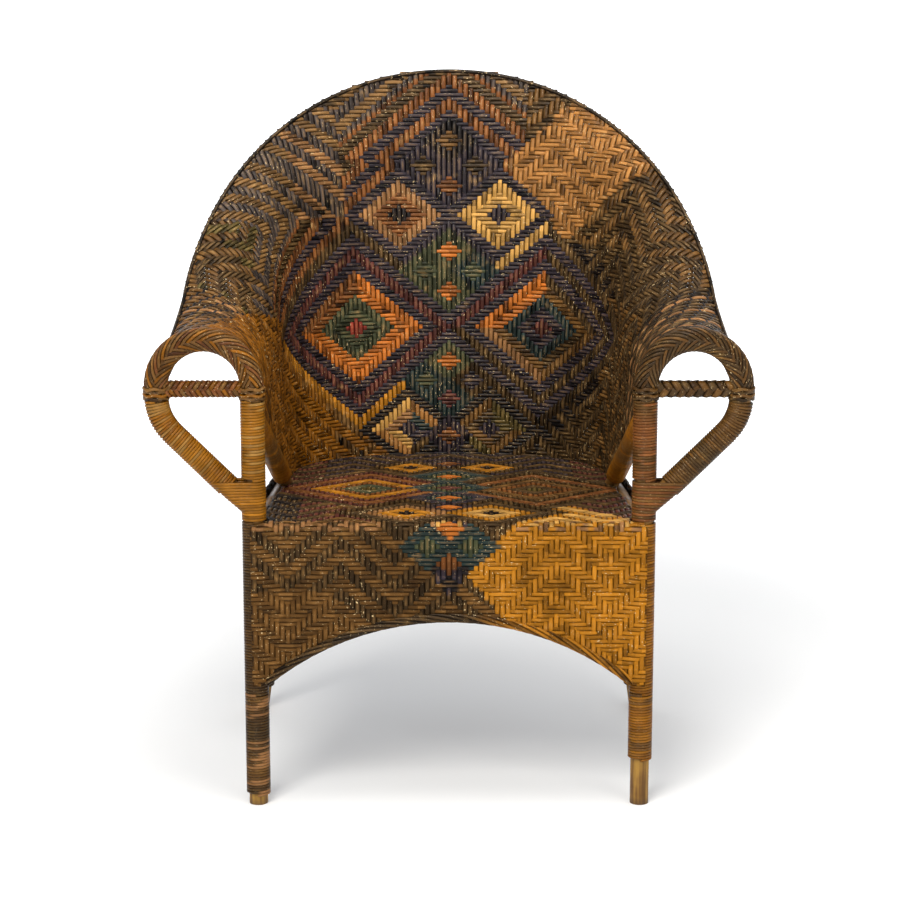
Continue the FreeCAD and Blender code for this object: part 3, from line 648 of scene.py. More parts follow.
def reed_finish(name, gloss, wear_and_sheen, edge, mottle, pale, shine=0.11):
    """Dyed and varnished reed: fibres along the strand, dark joints, rubbed float tops, a painted highlight along the
    middle of each float, and golden flecks that are partly bare reed and partly painted glints.
    """
    sockets, shader = new_finish(name)[1:]
    dye = sockets.node("ShaderNodeAttribute", {"attribute_name": "dye"})
    rise = dye.other("Alpha")
    lay = sockets.node("ShaderNodeAttribute", {"attribute_name": "lay"}, out=1)
    along = sockets.node("ShaderNodeSeparateXYZ", n0=lay)
    across = along.other(1).size()
    number = along.other(2)
    place = sockets.node("ShaderNodeTexCoord", out=3)
    fibre = lay.scaled((60.0, 2.6, 7.31)).noise(1.0, 3.0)
    fleck_glint_noise = lay.scaled((260.0, 2.2, 3.7)).noise(1.0, 1.0)
    cloud = place.noise(9.0, 4.0)
    patch = place.noise(46.0, 3.0)
    strand = sockets.node("ShaderNodeTexWhiteNoise", {"noise_dimensions": "1D"}, W=number)
    cell = sockets.node("ShaderNodeCombineXYZ", n0=along.maths("FLOOR", along * 52.0), n1=number)
    chance = sockets.node("ShaderNodeTexWhiteNoise", {"noise_dimensions": "3D"}, Vector=cell)
    shade = 0.43 + 0.5 * fibre + 0.4 * (strand - 0.5) + mottle * (chance - 0.5)
    shade = shade + 0.7 * (cloud - 0.5) + 0.5 * (patch - 0.5)
    joint = across.span(0.55, 1.0, 1.0, edge) * rise.span(0.1, 0.55, edge, 1.0)
    colour = sockets.node("ShaderNodeVectorMath", {"operation": "SCALE"}, n0=dye, Scale=shade * joint)
    crown = rise.span(0.7, 1.0)
    rub = crown * patch.span(0.54, 0.76) * fibre.span(0.4, 0.75) * wear_and_sheen
    # The middle of each float's top is lightened towards the pale colour: a painted highlight, added to the rubbed
    # patches.
    painted_crest_highlight = across.span(0.05, 0.6, 1.0, 0.0) * crown * chance.span(0.2, 1.0)
    colour = (rub + painted_crest_highlight * (0.24 * wear_and_sheen)).blend(colour, (*pale, 1.0))
    # Golden flecks along the strands: partly bare reed where the dye is chipped, partly painted glints of the
    # varnish.
    fleck_and_glint = fleck_glint_noise.span(0.69, 0.715) * (0.3 + cloud.span(0.42, 0.6)) * rise.span(0.5, 0.8) * wear_and_sheen
    colour = fleck_and_glint.blend(colour, (0.62, 0.46, 0.24, 1.0))
    feed(sockets, shader, "Base Color", colour)
    feed(sockets, shader, "Roughness", gloss + 0.2 * patch.span(0.35, 0.7) + 0.2 * (1.0 - joint))
    bump = sockets.node("ShaderNodeBump", Strength=0.5, Distance=0.0004, Height=fibre + 0.4 * patch)
    feed(sockets, shader, "Normal", bump)
    shader.inputs["Specular IOR Level"].default_value = shine
    shader.inputs["Coat Roughness"].default_value = 0.2
    feed(sockets, shader, "Coat Weight", (0.45 * shine) * cloud.span(0.3, 0.6) * joint)


def pole_finish(name, dark, light, foot):
    """Round rattan with its skin's long grain, ringed nodes and bare, scuffed feet."""
    sockets, shader = new_finish(name)[1:]
    place = sockets.node("ShaderNodeTexCoord", out=3)
    height = sockets.node("ShaderNodeSeparateXYZ", out=2, n0=place)
    grain = sockets.node("ShaderNodeMapping", n0=place, Scale=(140.0, 140.0, 9.0)).noise(1.0, 5.0)
    cloud = place.noise(14.0, 4.0)
    between_rings = height.maths("FRACT", height * 4.6 + 0.35 * cloud)
    knot = height.maths("PINGPONG", between_rings, 0.5).span(0.0, 0.035, 1.0, 0.0)
    colour = (0.55 * grain + 0.45 * cloud).span(0.3, 0.72).blend((*dark, 1.0), (*light, 1.0))
    colour = (knot * 0.55).blend(colour, (0.05, 0.026, 0.012, 1.0))
    bare = height.span(0.05, 0.09, 1.0, 0.0) * (0.6 * grain + 0.4 * cloud).span(0.42, 0.6)
    colour = bare.blend(colour, (*foot, 1.0))
    # Darker over the lowest 12 mm of each pole.
    darker_near_floor = height.span(0.0, 0.012, 0.55, 0.0)
    colour = darker_near_floor.blend(colour, (0.06, 0.04, 0.025, 1.0))
    feed(sockets, shader, "Base Color", colour)
    feed(sockets, shader, "Roughness", 0.36 + 0.3 * cloud.span(0.35, 0.7) + 0.15 * bare)
    shader.inputs["Specular IOR Level"].default_value = 0.2
    bump = sockets.node("ShaderNodeBump", Strength=0.35, Distance=0.0006, Height=grain + knot)
    feed(sockets, shader, "Normal", bump)


def iron_finish():
    """Dull wire nails with rusty stains."""
    sockets, shader = new_finish("nail iron")[1:]
    place = sockets.node("ShaderNodeTexCoord", out=3)
    rust = place.noise(420.0, 4.0).span(0.42, 0.62)
    feed(sockets, shader, "Base Color", rust.blend((0.22, 0.2, 0.18, 1.0), (0.14, 0.06, 0.025, 1.0)))
    feed(sockets, shader, "Roughness", 0.38 + 0.4 * rust)
    feed(sockets, shader, "Metallic", 1.0 - 0.8 * rust)


def finishes():
    """Materials by name, made once."""
    if "woven reed" not in bpy.data.materials:
        reed_finish("woven reed", 0.3, 0.95, 0.26, 0.85, (0.46, 0.27, 0.1))
        reed_finish("seat reed", 0.45, 0.85, 0.4, 0.42, (0.42, 0.22, 0.07), 0.06)
        reed_finish("wrapped cane", 0.3, 0.35, 0.28, 0.2, (0.45, 0.25, 0.06))
        reed_finish("plaited reed", 0.3, 0.8, 0.3, 0.5, (0.4, 0.22, 0.06))
        pole_finish("rattan pole", (0.1, 0.045, 0.012), (0.3, 0.15, 0.035), (0.36, 0.2, 0.04))
        iron_finish()
    return bpy.data.materials


# Rows of the back below and above the big diamonds' middle, and the stake where an arm's plainer weave starts.
BACK_ROW = 35
BACK_TOP_ROW = 68
ARM_STAKE = 65
BACK_MOTIFS = (
    (Motif(0, 42, "navy black navy navy"),),
    (Motif(-20, 0, "red green green russet/orange/orange/orange russet/orange/orange/orange navy maroon navy"
                   " umber/umber/ochre/ochre"),
     Motif(20, 0, "maroon navy teal orange/brown/brown/umber orange/umber/tan/brown navy maroon/umber/umber/umber"
                  " navy gold/umber/umber/umber")),
    (Motif(-9, -27, "navy tan/teal/gold/navy gold/honey/honey/umber black"),
     Motif(9, -27, "navy umber/olive/brown/umber brown/olive/olive/brown black")),
    (Motif(-10, 28, "black russet tan navy"),
     Motif(10, 28, "navy gold gold navy")),
    (Motif(-5, 14, "green green", bars=True), Motif(5, 14, "green teal", bars=True),
     Motif(-5, -14, "green teal", bars=True), Motif(5, -14, "navy umber", bars=True),
     Motif(-5, 40, "umber navy", bars=True), Motif(5, 40, "umber navy", bars=True)),
    (Motif(0, 9, "orange green", bars=True), Motif(0, 19, "orange green", bars=True),
     Motif(0, -9, "orange green", bars=True), Motif(0, -19, "maroon teal", bars=True),
     Motif(0, -29, "russet navy", bars=True),
     Motif(0, 35, "russet navy", bars=True), Motif(0, 46, "brown black", bars=True)),
)


def back_gap(i, j):
    """Strands from the big diamonds of the back outwards."""
    side = np.abs(i)
    gap = np.minimum(side + np.abs(j - 42) - 12, np.abs(side - 10) + np.abs(j - 28) - 12)
    gap = np.minimum(gap, np.abs(side - 20) + np.abs(j) - 27)
    return np.where((side > 21) & (j > 27), np.abs(j - side - 7), gap)


def back_ground(i, j, paint):
    """Ground dyes of the back and arms: stripes round the big diamonds, plainer towards the arms."""
    side = np.abs(i)
    gap = back_gap(i, j)
    left = i < 15
    paint(left, "brown", "umber")
    paint(left & (gap < 25), "slate", "hazel")
    paint(left & (gap < 13), "russet", "umber")
    paint(left & (gap < 7), "russet", "navy")
    wing = (i < -21) & (j > 27) & (gap < 13)
    paint(wing, "slate", "hazel")
    paint(wing & (i > -33), "slate", "tan")
    paint(left & (gap > 24) & (np.floor((side + 5) / 10) % 2 == 1), "brown", "olive")
    paint(left & (j > 62), "hazel", "umber")
    paint(~left, "brown", "umber")
    paint(~left & (j < 22), "umber", "umber")
    paint(~left & (j < 22) & (gap < 6), "umber", "black")
    paint((side < 14) & (j < 30), "navy", "black")
    paint((i > 36) & (j < 10), "umber", "brown")
    paint((i < -7) & (i > -60) & (j < -11 - 0.3 * (i + 20)), "brown", "amber")
    wedge = (j > 40 - 1.35 * (i - 10.75)) & (j < 40 + 1.3 * (i - 10.75)) & (j > 21.4 + 1.25 * (i - 24.5))
    paint(wedge, "honey", "honey")
    paint(i < -ARM_STAKE, "brown", "black")
    paint(i > ARM_STAKE, "umber", "black")
    paint((side > ARM_STAKE) & (i % 4 == 0), "tan", "black")
    wall = np.where(i < -42, 3.6 - 0.28 * (i + 42), 3.6 - 1.5 * (i + 42))
    paint((i < -26) & (j < wall), "amber", "amber")


def back_twill(i, j):
    """Twill that runs round the big diamonds on the left, and changes to fish scales on the arms."""
    gap = back_gap(i, j)
    plain = (gap > 24) | (i < -44) & (j < 28) | (i > 14)
    over = np.where(plain, herringbone(i, j), gap) // FLOAT % 2 == 0
    return np.where(np.abs(i) > ARM_STAKE, (i + j) % 4 > 0, over)


# The aprons' lowest row and the seat's rearmost row; the seat's front edge is row 0.
APRON_ROW = -38
SEAT_ROW = 79
SEAT_MOTIFS = (
    (Motif(-16, 35, "olive green russet ochre maroon russet maroon umber"),
     Motif(17, 34, "olive umber russet brown umber russet umber umber")),
    (Motif(-8, 60, "black ochre umber"), Motif(8, 60, "black ochre umber"),
     Motif(-8, 9, "black ochre tan umber umber"), Motif(8, 9, "black gold ochre umber umber")),
    (Motif(0, 65, "russet navy", bars=True), Motif(0, 49, "orange green teal", bars=True),
     Motif(0, 36, "maroon green teal", bars=True), Motif(0, 25, "orange teal navy", bars=True),
     Motif(0, 15, "orange navy", bars=True)),
    (Motif(-4, -6, "green teal"), Motif(4, -6, "green teal")),
    (Motif(0, -10, "russet"), Motif(0, -2, "orange", bars=True)),
)


def seat_ground(i, j, paint):
    """Ground dyes of the seat and, from row 0 down, of the front apron."""
    side = np.abs(i)
    seat = j > 0
    apron = ~seat
    paint(apron, "umber", "brown")
    paint(seat & (side > 6), "maroon", "umber")
    paint(seat & (side > 6) & (side < 24), "maroon", "brown")
    paint(seat & (i < -28) & (j < 30), "umber", "black")
    paint((j > 40) & (side < 26), "navy", "umber")
    paint((i < -20 - 0.8 * (j + 20)) & (j < -16), "brown", "brown")
    paint(apron & (i > 3 + np.abs(j + 12.5) * 0.68), "ochre", "ochre")
    paint(apron & (side < 10 + 0.56 * j), "navy", "black")
    paint(seat & (j < 17 - 1.2 * np.abs(i - 22)), "ochre", "gold")
    # Pale tan and gold bits on the apron's top rows at the seat's rolled front edge: a painted highlight along the
    # edge, broken into irregular bits.
    front_edge_glint = (i * 5 + j * 3) % 7
    paint(apron & (j > -3) & (front_edge_glint < 4), "tan", "tan")
    paint(apron & (j > -2) & (i > -12) & (front_edge_glint < 3), "gold", "gold")


def striped(i, j):
    """Broad bands along the herringbone."""
    return herringbone(i, j) % 24 < 12


def brown_ground(i, j, paint):
    """Plain brown bands for the left side and the rear."""
    paint(~striped(i, j), "brown", "umber")


def ochre_ground(i, j, paint):
    """Amber and brown bands for the right side."""
    paint(striped(i, j), "brown", "amber")
    paint(~striped(i, j), "amber", "amber")


class CHAIR_OT_back(bpy.types.Operator):
    """Weave the back and both arms as one sheet"""

    bl_idname = "chair.back"
    bl_label = "Weave Back and Arms"

    def execute(self, context):
        sizes = context.scene.chair_weave
        shell = Shell()
        last = sizes.stakes

        def spot(i, j):
            """Share of the way round and height at a crossing."""
            row = j + BACK_ROW
            return np.clip(i / last, -1, 1), sizes.row_pitch * row + sizes.row_growth / 2 * row * row

        def place(i, j):
            return shell.at(*spot(i, j))

        def inside(i, j):
            return shell.inside(*spot(i, j))

        pattern = Pattern(back_ground, BACK_MOTIFS, back_twill)
        cloth = Cloth(place, inside, pattern, (-last, last), (-BACK_ROW, BACK_TOP_ROW), context.scene)
        for name, strands in (("back_stakes_left", cloth.strands(True, -last, -1)),
                              ("back_stakes_right", cloth.strands(True, 0, last)),
                              ("back_rows_lower", cloth.strands(False, -BACK_ROW, 4)),
                              ("back_rows_upper", cloth.strands(False, 5, BACK_TOP_ROW))):
            lay_strands(name, strands, "woven reed", "back_panel", "arm_panel_left", "arm_panel_right")
        self.border(shell, dyes_by_name(context.scene.chair_dyes))
        return {"FINISHED"}

    def border(self, shell, tint):
        """Dark reeds that close the rim and the arms' lower edges, on both faces."""
        share = np.linspace(-1, 1, 361)
        low, high = shell.section(share)[-2:]
        dye = tint["black"] * 0.6 + tint["umber"] * 0.4
        routes = []
        step = 0.002
        for height in (high - BORDER_BELOW_RIM, low + EDGE_CLEAR):
            middle = shell.at(share, height)
            up = shell.at(share, height + step) - shell.at(share, height - step)
            outward = unit(np.cross(np.gradient(middle, axis=0), up))
            for face in (-1.0, 1.0):
                routes.append(Route(middle + outward * BORDER_OFF * face, outward, *BORDER_SIZES, dye))
        lay_strands("back_border", routes, "woven reed", "back_panel")


def apron_arch(x, half):
    """Height of the apron's rope edge at x from its middle."""
    rise = APRON_ARCH[0] - APRON_ARCH[1]
    radius = (half * half + rise * rise) / (2 * rise)
    return APRON_ARCH[0] - radius + np.sqrt(np.maximum(radius * radius - x * x, 0.0))


def apron_depth(z, edge):
    """How far inside an apron a height is, between its rope edge and its top."""
    return np.minimum(z - edge - EDGE_CLEAR, APRON_TOP + APRON_OVERLAP - z)


def over_leg(x):
    """How far the front apron comes forward where it passes over a leg's wrapping."""
    near = np.clip((np.abs(x) - LEG_X + LEG_BULGE_RUN) / LEG_BULGE_RUN, 0, 1)
    past = np.maximum(np.abs(x) - LEG_X, 0)
    return LEG_BULGE * near * near * (3 - 2 * near) - past * past * LEG_BULGE_FALL


class CHAIR_OT_seat(bpy.types.Operator):
    """Weave the seat and the front apron, which share their stakes"""

    bl_idname = "chair.seat"
    bl_label = "Weave Seat and Front Apron"

    def execute(self, context):
        sizes = context.scene.chair_weave
        level = SEAT_Z - SHEET_T / 2
        foot = Shell().section(np.linspace(0, 1, 400))[0]
        rear = foot[:len(foot) // 2]

        def seat_place(i, j):
            depth = APRON_DEPTH + NOSE_R + j * sizes.seat_row
            return np.stack([i * sizes.seat_pitch, LEG_Y + depth, np.full(np.shape(i), level)], -1)

        def apron_place(i, j):
            fall = -j * sizes.apron_row
            angle = np.clip(fall / NOSE_R, 0, math.pi / 2)
            below = np.clip(fall - NOSE_R * math.pi / 2, 0, None)
            x = i * sizes.seat_pitch
            y = APRON_DEPTH + NOSE_R - NOSE_R * np.sin(angle) - over_leg(x) * np.sin(angle)
            return np.stack([x, LEG_Y + y, level - NOSE_R * (1 - np.cos(angle)) - below], -1)

        def place(i, j):
            return np.where((j > 0)[..., None], seat_place(i, j), apron_place(i, j))

        def seat_inside(i, j):
            spot = seat_place(i, j)
            x = np.abs(spot[..., 0])
            depth = spot[..., 1] - LEG_Y
            edge = np.interp(depth, foot[::-1, 1], foot[::-1, 0])
            side = np.where(depth < POST_CLEAR, LEG_X - POST_CLEAR, edge - SEAT_SIDE_CLEAR)
            behind = np.interp(x, rear[:, 0], rear[:, 1])
            return np.minimum(side - x, behind - EDGE_CLEAR - depth)

        def apron_inside(i, j):
            spot = apron_place(i, j)
            x = np.abs(spot[..., 0])
            return np.minimum(LEG_X + APRON_PAST_LEG - x, spot[..., 2] - apron_arch(x, LEG_X) - EDGE_CLEAR)

        def inside(i, j):
            return np.where(j > 0, seat_inside(i, j), apron_inside(i, j))

        wide = int(LEG_X / sizes.seat_pitch) + 1
        pattern = Pattern(seat_ground, SEAT_MOTIFS)
        cloth = Cloth(place, inside, pattern, (-wide, wide), (APRON_ROW, SEAT_ROW), context.scene)
        lay_strands("seat_stakes", cloth.strands(True), "seat reed", "seat_panel", "front_apron")
        lay_strands("seat_rows", cloth.strands(False, 1, SEAT_ROW), "seat reed", "seat_panel")
        lay_strands("front_apron_rows", cloth.strands(False, APRON_ROW, 0), "seat reed", "front_apron")
        return {"FINISHED"}


class Pole:
    """A straight or bent pole's axis as points, for cane and plaits to lie on."""

    def __init__(self, points):
        self.points = np.asarray(points, float)
        self.run = run_along(self.points)
        self.length = self.run[-1]

    def at(self, run):
        return np.stack([np.interp(run, self.run, self.points[:, k]) for k in range(3)], -1)

    def spokes(self, run, angle, front):
        """Points along the pole and the ways out from them, at angles from the front."""
        step = self.length * 0.004 + 1e-4
        way = unit(self.at(run + step) - self.at(run - step))
        front = np.broadcast_to(front, way.shape)
        front = unit(front - way * np.sum(front * way, axis=1, keepdims=True))
        side = np.cross(way, front)
        return self.at(run), front * np.cos(angle)[:, None] + side * np.sin(angle)[:, None]


def wound_cane(pole, start, end, core, pitch, dyes, front=FRONT):
    """Flat cane wound round a pole between two distances, turn beside turn, some of them rubbed."""
    turns = round((end - start) / pitch)
    lead = (end - start) / turns
    angle = np.linspace(0, 2 * math.pi * (turns - 1), (turns - 1) * CANE_STEPS + 1)
    run = start + lead / 2 + lead * angle / (2 * math.pi)
    middle, spoke = pole.spokes(run, angle, front)
    first, last, bare = dyes
    shift = np.interp(run, [start, end], [0.0, 1.0])[:, None]
    colour = first + (last - first) * (0.5 + 0.5 * np.sin(shift * 9.0 + core * 900.0))
    turn = np.floor(angle / (2 * math.pi) + 0.5)
    luck = np.sin(turn * 12.99 + start * 700.0) * 437.6 % 1.0
    rubbed = np.cos(angle - 9.0 * luck) > 1.4 - 1.9 * luck
    colour = np.where(rubbed[:, None], colour + (bare - colour) * luck[:, None], colour)
    return Route(middle + spoke * (core + CANE_T), spoke, lead * CANE_FILL, CANE_T, colour)


def plait(pole, margin, radius, strands, period, width, thick, dyes, steps_per_period, front=FRONT):
    """Strands plaited flat on one face of a pole: each comes over from the edge and dives under at the middle."""
    start, end = margin, pole.length - margin
    run = np.linspace(start, end, int((end - start) / period * steps_per_period) + 1)
    slope = 4.0 * width / period
    wide = period / strands * CANE_FILL * slope / math.hypot(1.0, slope)
    routes = []
    for k in range(strands):
        phase = (run / period + k / strands) % 1.0
        swing = 1.0 - 4.0 * np.abs(phase - 0.5)
        over = np.sin(4.0 * math.pi * phase)
        reach = radius + thick * (1.0 + 0.8 * np.clip(1.6 * over, -1, 1))
        middle, spoke = pole.spokes(run, swing * width / radius, front)
        dye = dyes[k % len(dyes)]
        routes.append(Route(middle + spoke * reach[:, None], spoke, wide, thick, dye, 0.5 + 0.5 * over))
    return routes


def rope(points, dye, front=FRONT):
    """Round strands twisted together with a long lay. The dye may change along the rope."""
    pole = Pole(points)
    run = np.linspace(0.0, pole.length, int(pole.length / ROPE_LAY * ROPE_STEPS) + 1)
    routes = []
    for k in range(ROPE_STRANDS):
        middle, spoke = pole.spokes(run, 2 * math.pi * (run / ROPE_LAY + k / ROPE_STRANDS), front)
        colour = dye(middle) * ROPE_TINTS[k % len(ROPE_TINTS)]
        routes.append(Route(middle + spoke * (ROPE_R - ROPE_T), spoke, ROPE_T, ROPE_T, colour))
    return routes


def mirrored_pole(points, side):
    """A pole given for the right, on either side."""
    return Pole(np.asarray(points, float) * vec(side, 1.0, 1.0))


def strut_points():
    """Axis of the slanting strut from the arch's outer end down to the front leg, on the right."""
    top = vec(LEG_X + 2 * ARCH_R, LEG_Y, ARCH_Z)
    hub = vec(LEG_X + 2 * ARCH_R - STRUT_BEND_R, LEG_Y, ARCH_Z - STRUT_DROP)
    foot = vec(LEG_X, LEG_Y, STRUT_FOOT_Z)
    to_foot = foot - hub
    turn = -math.acos(STRUT_BEND_R / np.linalg.norm(to_foot)) - math.atan2(to_foot[2], to_foot[0])
    bend = [hub + STRUT_BEND_R * vec(math.cos(a), 0.0, -math.sin(a)) for a in np.linspace(0, turn, 13)]
    return np.array([top, *bend, foot])


def arch_points():
    """Axis of the arm hoop's arch from the front leg over to the strut, on the right."""
    angle = np.linspace(math.pi, 0, 33)
    hub = vec(LEG_X + ARCH_R, LEG_Y, ARCH_Z)
    return hub + ARCH_R * np.stack([np.cos(angle), 0 * angle, np.sin(angle)], -1)


class CHAIR_OT_wraps(bpy.types.Operator):
    """Wind cane on legs, posts, struts and braces, and bind the corners"""

    bl_idname = "chair.wraps"
    bl_label = "Wind Cane"

    def execute(self, context):
        tint = dyes_by_name(context.scene.chair_dyes)
        pitch = context.scene.chair_weave.cane
        for side, word in SIDES:
            dyes = {name: tinted(tint, text) for name, text in CANE_DYES[word].items()}
            leg = Pole([(side * LEG_X, LEG_Y, 0.0), (side * LEG_X, LEG_Y, LEG_TOP)])
            strut = mirrored_pole(strut_points(), side)
            rear = mirrored_pole([spot + Vector((0, LEG_Y, 0)) for spot in (REAR_FOOT, REAR_KNEE)], side)
            corner_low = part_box("corner_web_" + word)[0].z
            post_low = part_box("post_wrap_" + word)[0].z
            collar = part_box("arm_collars_" + word)[0].z
            foot_low, foot_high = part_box("front_foot_wrap_" + word)
            rear_low, rear_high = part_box("back_leg_wrap_" + word)
            strut_end = strut.length - (post_low - STRUT_FOOT_Z) * STRUT_SLANT
            slant = rear.length / REAR_KNEE.z
            rear_start, rear_end = (rear_low.z + EDGE_CLEAR) * slant, (rear_high.z - EDGE_CLEAR) * slant
            for name, node, pole, start, end in (
                    ("post", "post_wrap_", leg, post_low, collar),
                    ("strut", "strut_wrap_", strut, ARCH_Z - collar, strut_end),
                    ("foot", "front_foot_wrap_", leg, foot_low.z, foot_high.z + CANE_LAP),
                    ("leg", "front_leg_wrap_", leg, foot_high.z - CANE_LAP, SEAT_Z - SNUG),
                    ("rear_leg", "back_leg_wrap_", rear, rear_start, rear_end)):
                cane = wound_cane(pole, start, end, POLE_R, pitch, dyes[name])
                lay_strands(name + "_wrapping_" + word, [cane], "wrapped cane", node + word)
            self.wrap_brace(word, side, pitch, dyes["brace"])
            self.bind_corner(word, side, strut, corner_low, post_low, pitch, dyes["corner"])
        return {"FINISHED"}

    def wrap_brace(self, word, side, pitch, dyes):
        """Cane on the brace below the arm's edge."""
        shell = Shell()
        front = shell.at(np.array([1.0]), np.array([ARM_EDGE_Z - SHELL_Z]))[0]
        back = shell.at(np.array([shell.corner]), np.array([0.0]))[0]
        way = unit(back - front)
        down = unit(vec(0, 0, -1) + way * way[2])
        reach = BRACE_R + 2 * CANE_T
        brace = mirrored_pole(np.array([front, back]) + down * (reach + SNUG), side)
        top, bottom = brace.points[:, 2]
        share = (top - SEAT_Z - reach) / (top - bottom)
        cane = wound_cane(brace, BRACE_CANE_START, brace.length * share, BRACE_R, pitch, dyes, (1.0, 0.0, 0.0))
        lay_strands("brace_wrapping_" + word, [cane], "wrapped cane", "brace_wrap_" + word)

    def bind_corner(self, word, side, strut, low, high, pitch, dyes):
        """Flat loops of cane round the post and the strut's foot together."""
        around = np.linspace(0, 2 * math.pi, 41)
        out = np.cos(around) * side
        outward = np.stack([out, np.sin(around), 0 * around], -1)
        post_x = side * LEG_X
        reach = POLE_R + CORNER_OFF
        count = round((high - low) / pitch)
        tall = (high - low) / count
        routes = []
        for k in range(count):
            z = low + (k + 0.5) * tall
            strut_x = side * max(np.interp(z, strut.points[::-1, 2], strut.points[::-1, 0] * side), LEG_X)
            far = reach + CORNER_SWELL * np.clip((z - STRUT_FOOT_Z) / CORNER_SWELL_RUN, 0, 1)
            x = np.where(out * side > 0, strut_x + far * out, post_x + reach * out)
            blend = np.clip((x - post_x) / (strut_x - post_x + side * 1e-6), 0, 1)
            y = LEG_Y + np.sin(around) * (reach + (far - reach) * blend)
            shade = 0.85 + 0.3 * ((k * 7) % 5) / 4
            middle = np.stack([x, y, np.full(len(x), z)], -1)
            routes.append(Route(middle, outward, tall * CORNER_FILL, CORNER_T, dyes[k % 2] * shade))
        lay_strands("corner_binding_" + word, routes, "wrapped cane", "corner_web_" + word)


class CHAIR_OT_plaits(bpy.types.Operator):
    """Plait the arm hoops and the bars across the arms"""

    bl_idname = "chair.plaits"
    bl_label = "Plait Arms"

    def execute(self, context):
        tint = dyes_by_name(context.scene.chair_dyes)
        for side, word in SIDES:
            dyes = tinted(tint, HOOP_DYES[word])
            arch = mirrored_pole(arch_points(), side)
            routes = plait(arch, 0.0, POLE_R + SNUG, HOOP_STRANDS, HOOP_PERIOD, HOOP_WIDTH, HOOP_T, dyes, HOOP_STEPS)
            lay_strands("hoop_plait_" + word, routes, "plaited reed", "arm_braid_" + word)
            self.plait_crossbar(word, side, tinted(tint, BAR_DYES[word]))
            self.plait_collars(word, side, dyes)
        return {"FINISHED"}

    def plait_crossbar(self, word, side, dyes):
        """Plaits on the front and the back of the bar across an arm."""
        low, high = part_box("arm_crossbar_braid_" + word)
        height = (low.z + high.z) / 2
        bar = Pole([(side * LEG_X, LEG_Y, height), (side * (LEG_X + 2 * ARCH_R), LEG_Y, height)])
        routes = []
        for face in (-1.0, 1.0):
            routes += plait(bar, POLE_R + BAR_CLEAR, CROSSBAR_R, len(dyes), BAR_PERIOD, BAR_WIDTH, BAR_T, dyes,
                            BAR_STEPS, (0.0, face, 0.0))
        lay_strands("crossbar_plait_" + word, routes, "plaited reed", "arm_crossbar_braid_" + word)

    def plait_collars(self, word, side, dyes):
        """Rings round the hoop's two ends where the crossbar meets them, open behind."""
        low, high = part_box("arm_collars_" + word)
        turn = np.linspace(math.radians(-205), math.radians(25), 25)
        out = np.stack([np.cos(turn) * side, np.sin(turn), 0 * turn], -1)
        routes = []
        for x in (LEG_X, LEG_X + 2 * ARCH_R):
            for k in range(COLLAR_STRANDS):
                z = low.z + (high.z - low.z) * (k + 0.5) / COLLAR_STRANDS
                z = z + COLLAR_WAVE * np.sin(turn * 5 + k * math.pi)
                reach = POLE_R + COLLAR_OFF + COLLAR_STAGGER * (k % 2)
                middle = vec(side * x, LEG_Y, 0) + out * reach + vec(0, 0, 1) * z[:, None]
                order = slice(None, None, int(side))
                routes.append(Route(middle[order], out[order], *COLLAR_SIZES, dyes[k]))
        lay_strands("arm_collar_plaits_" + word, routes, "plaited reed", "arm_collars_" + word)


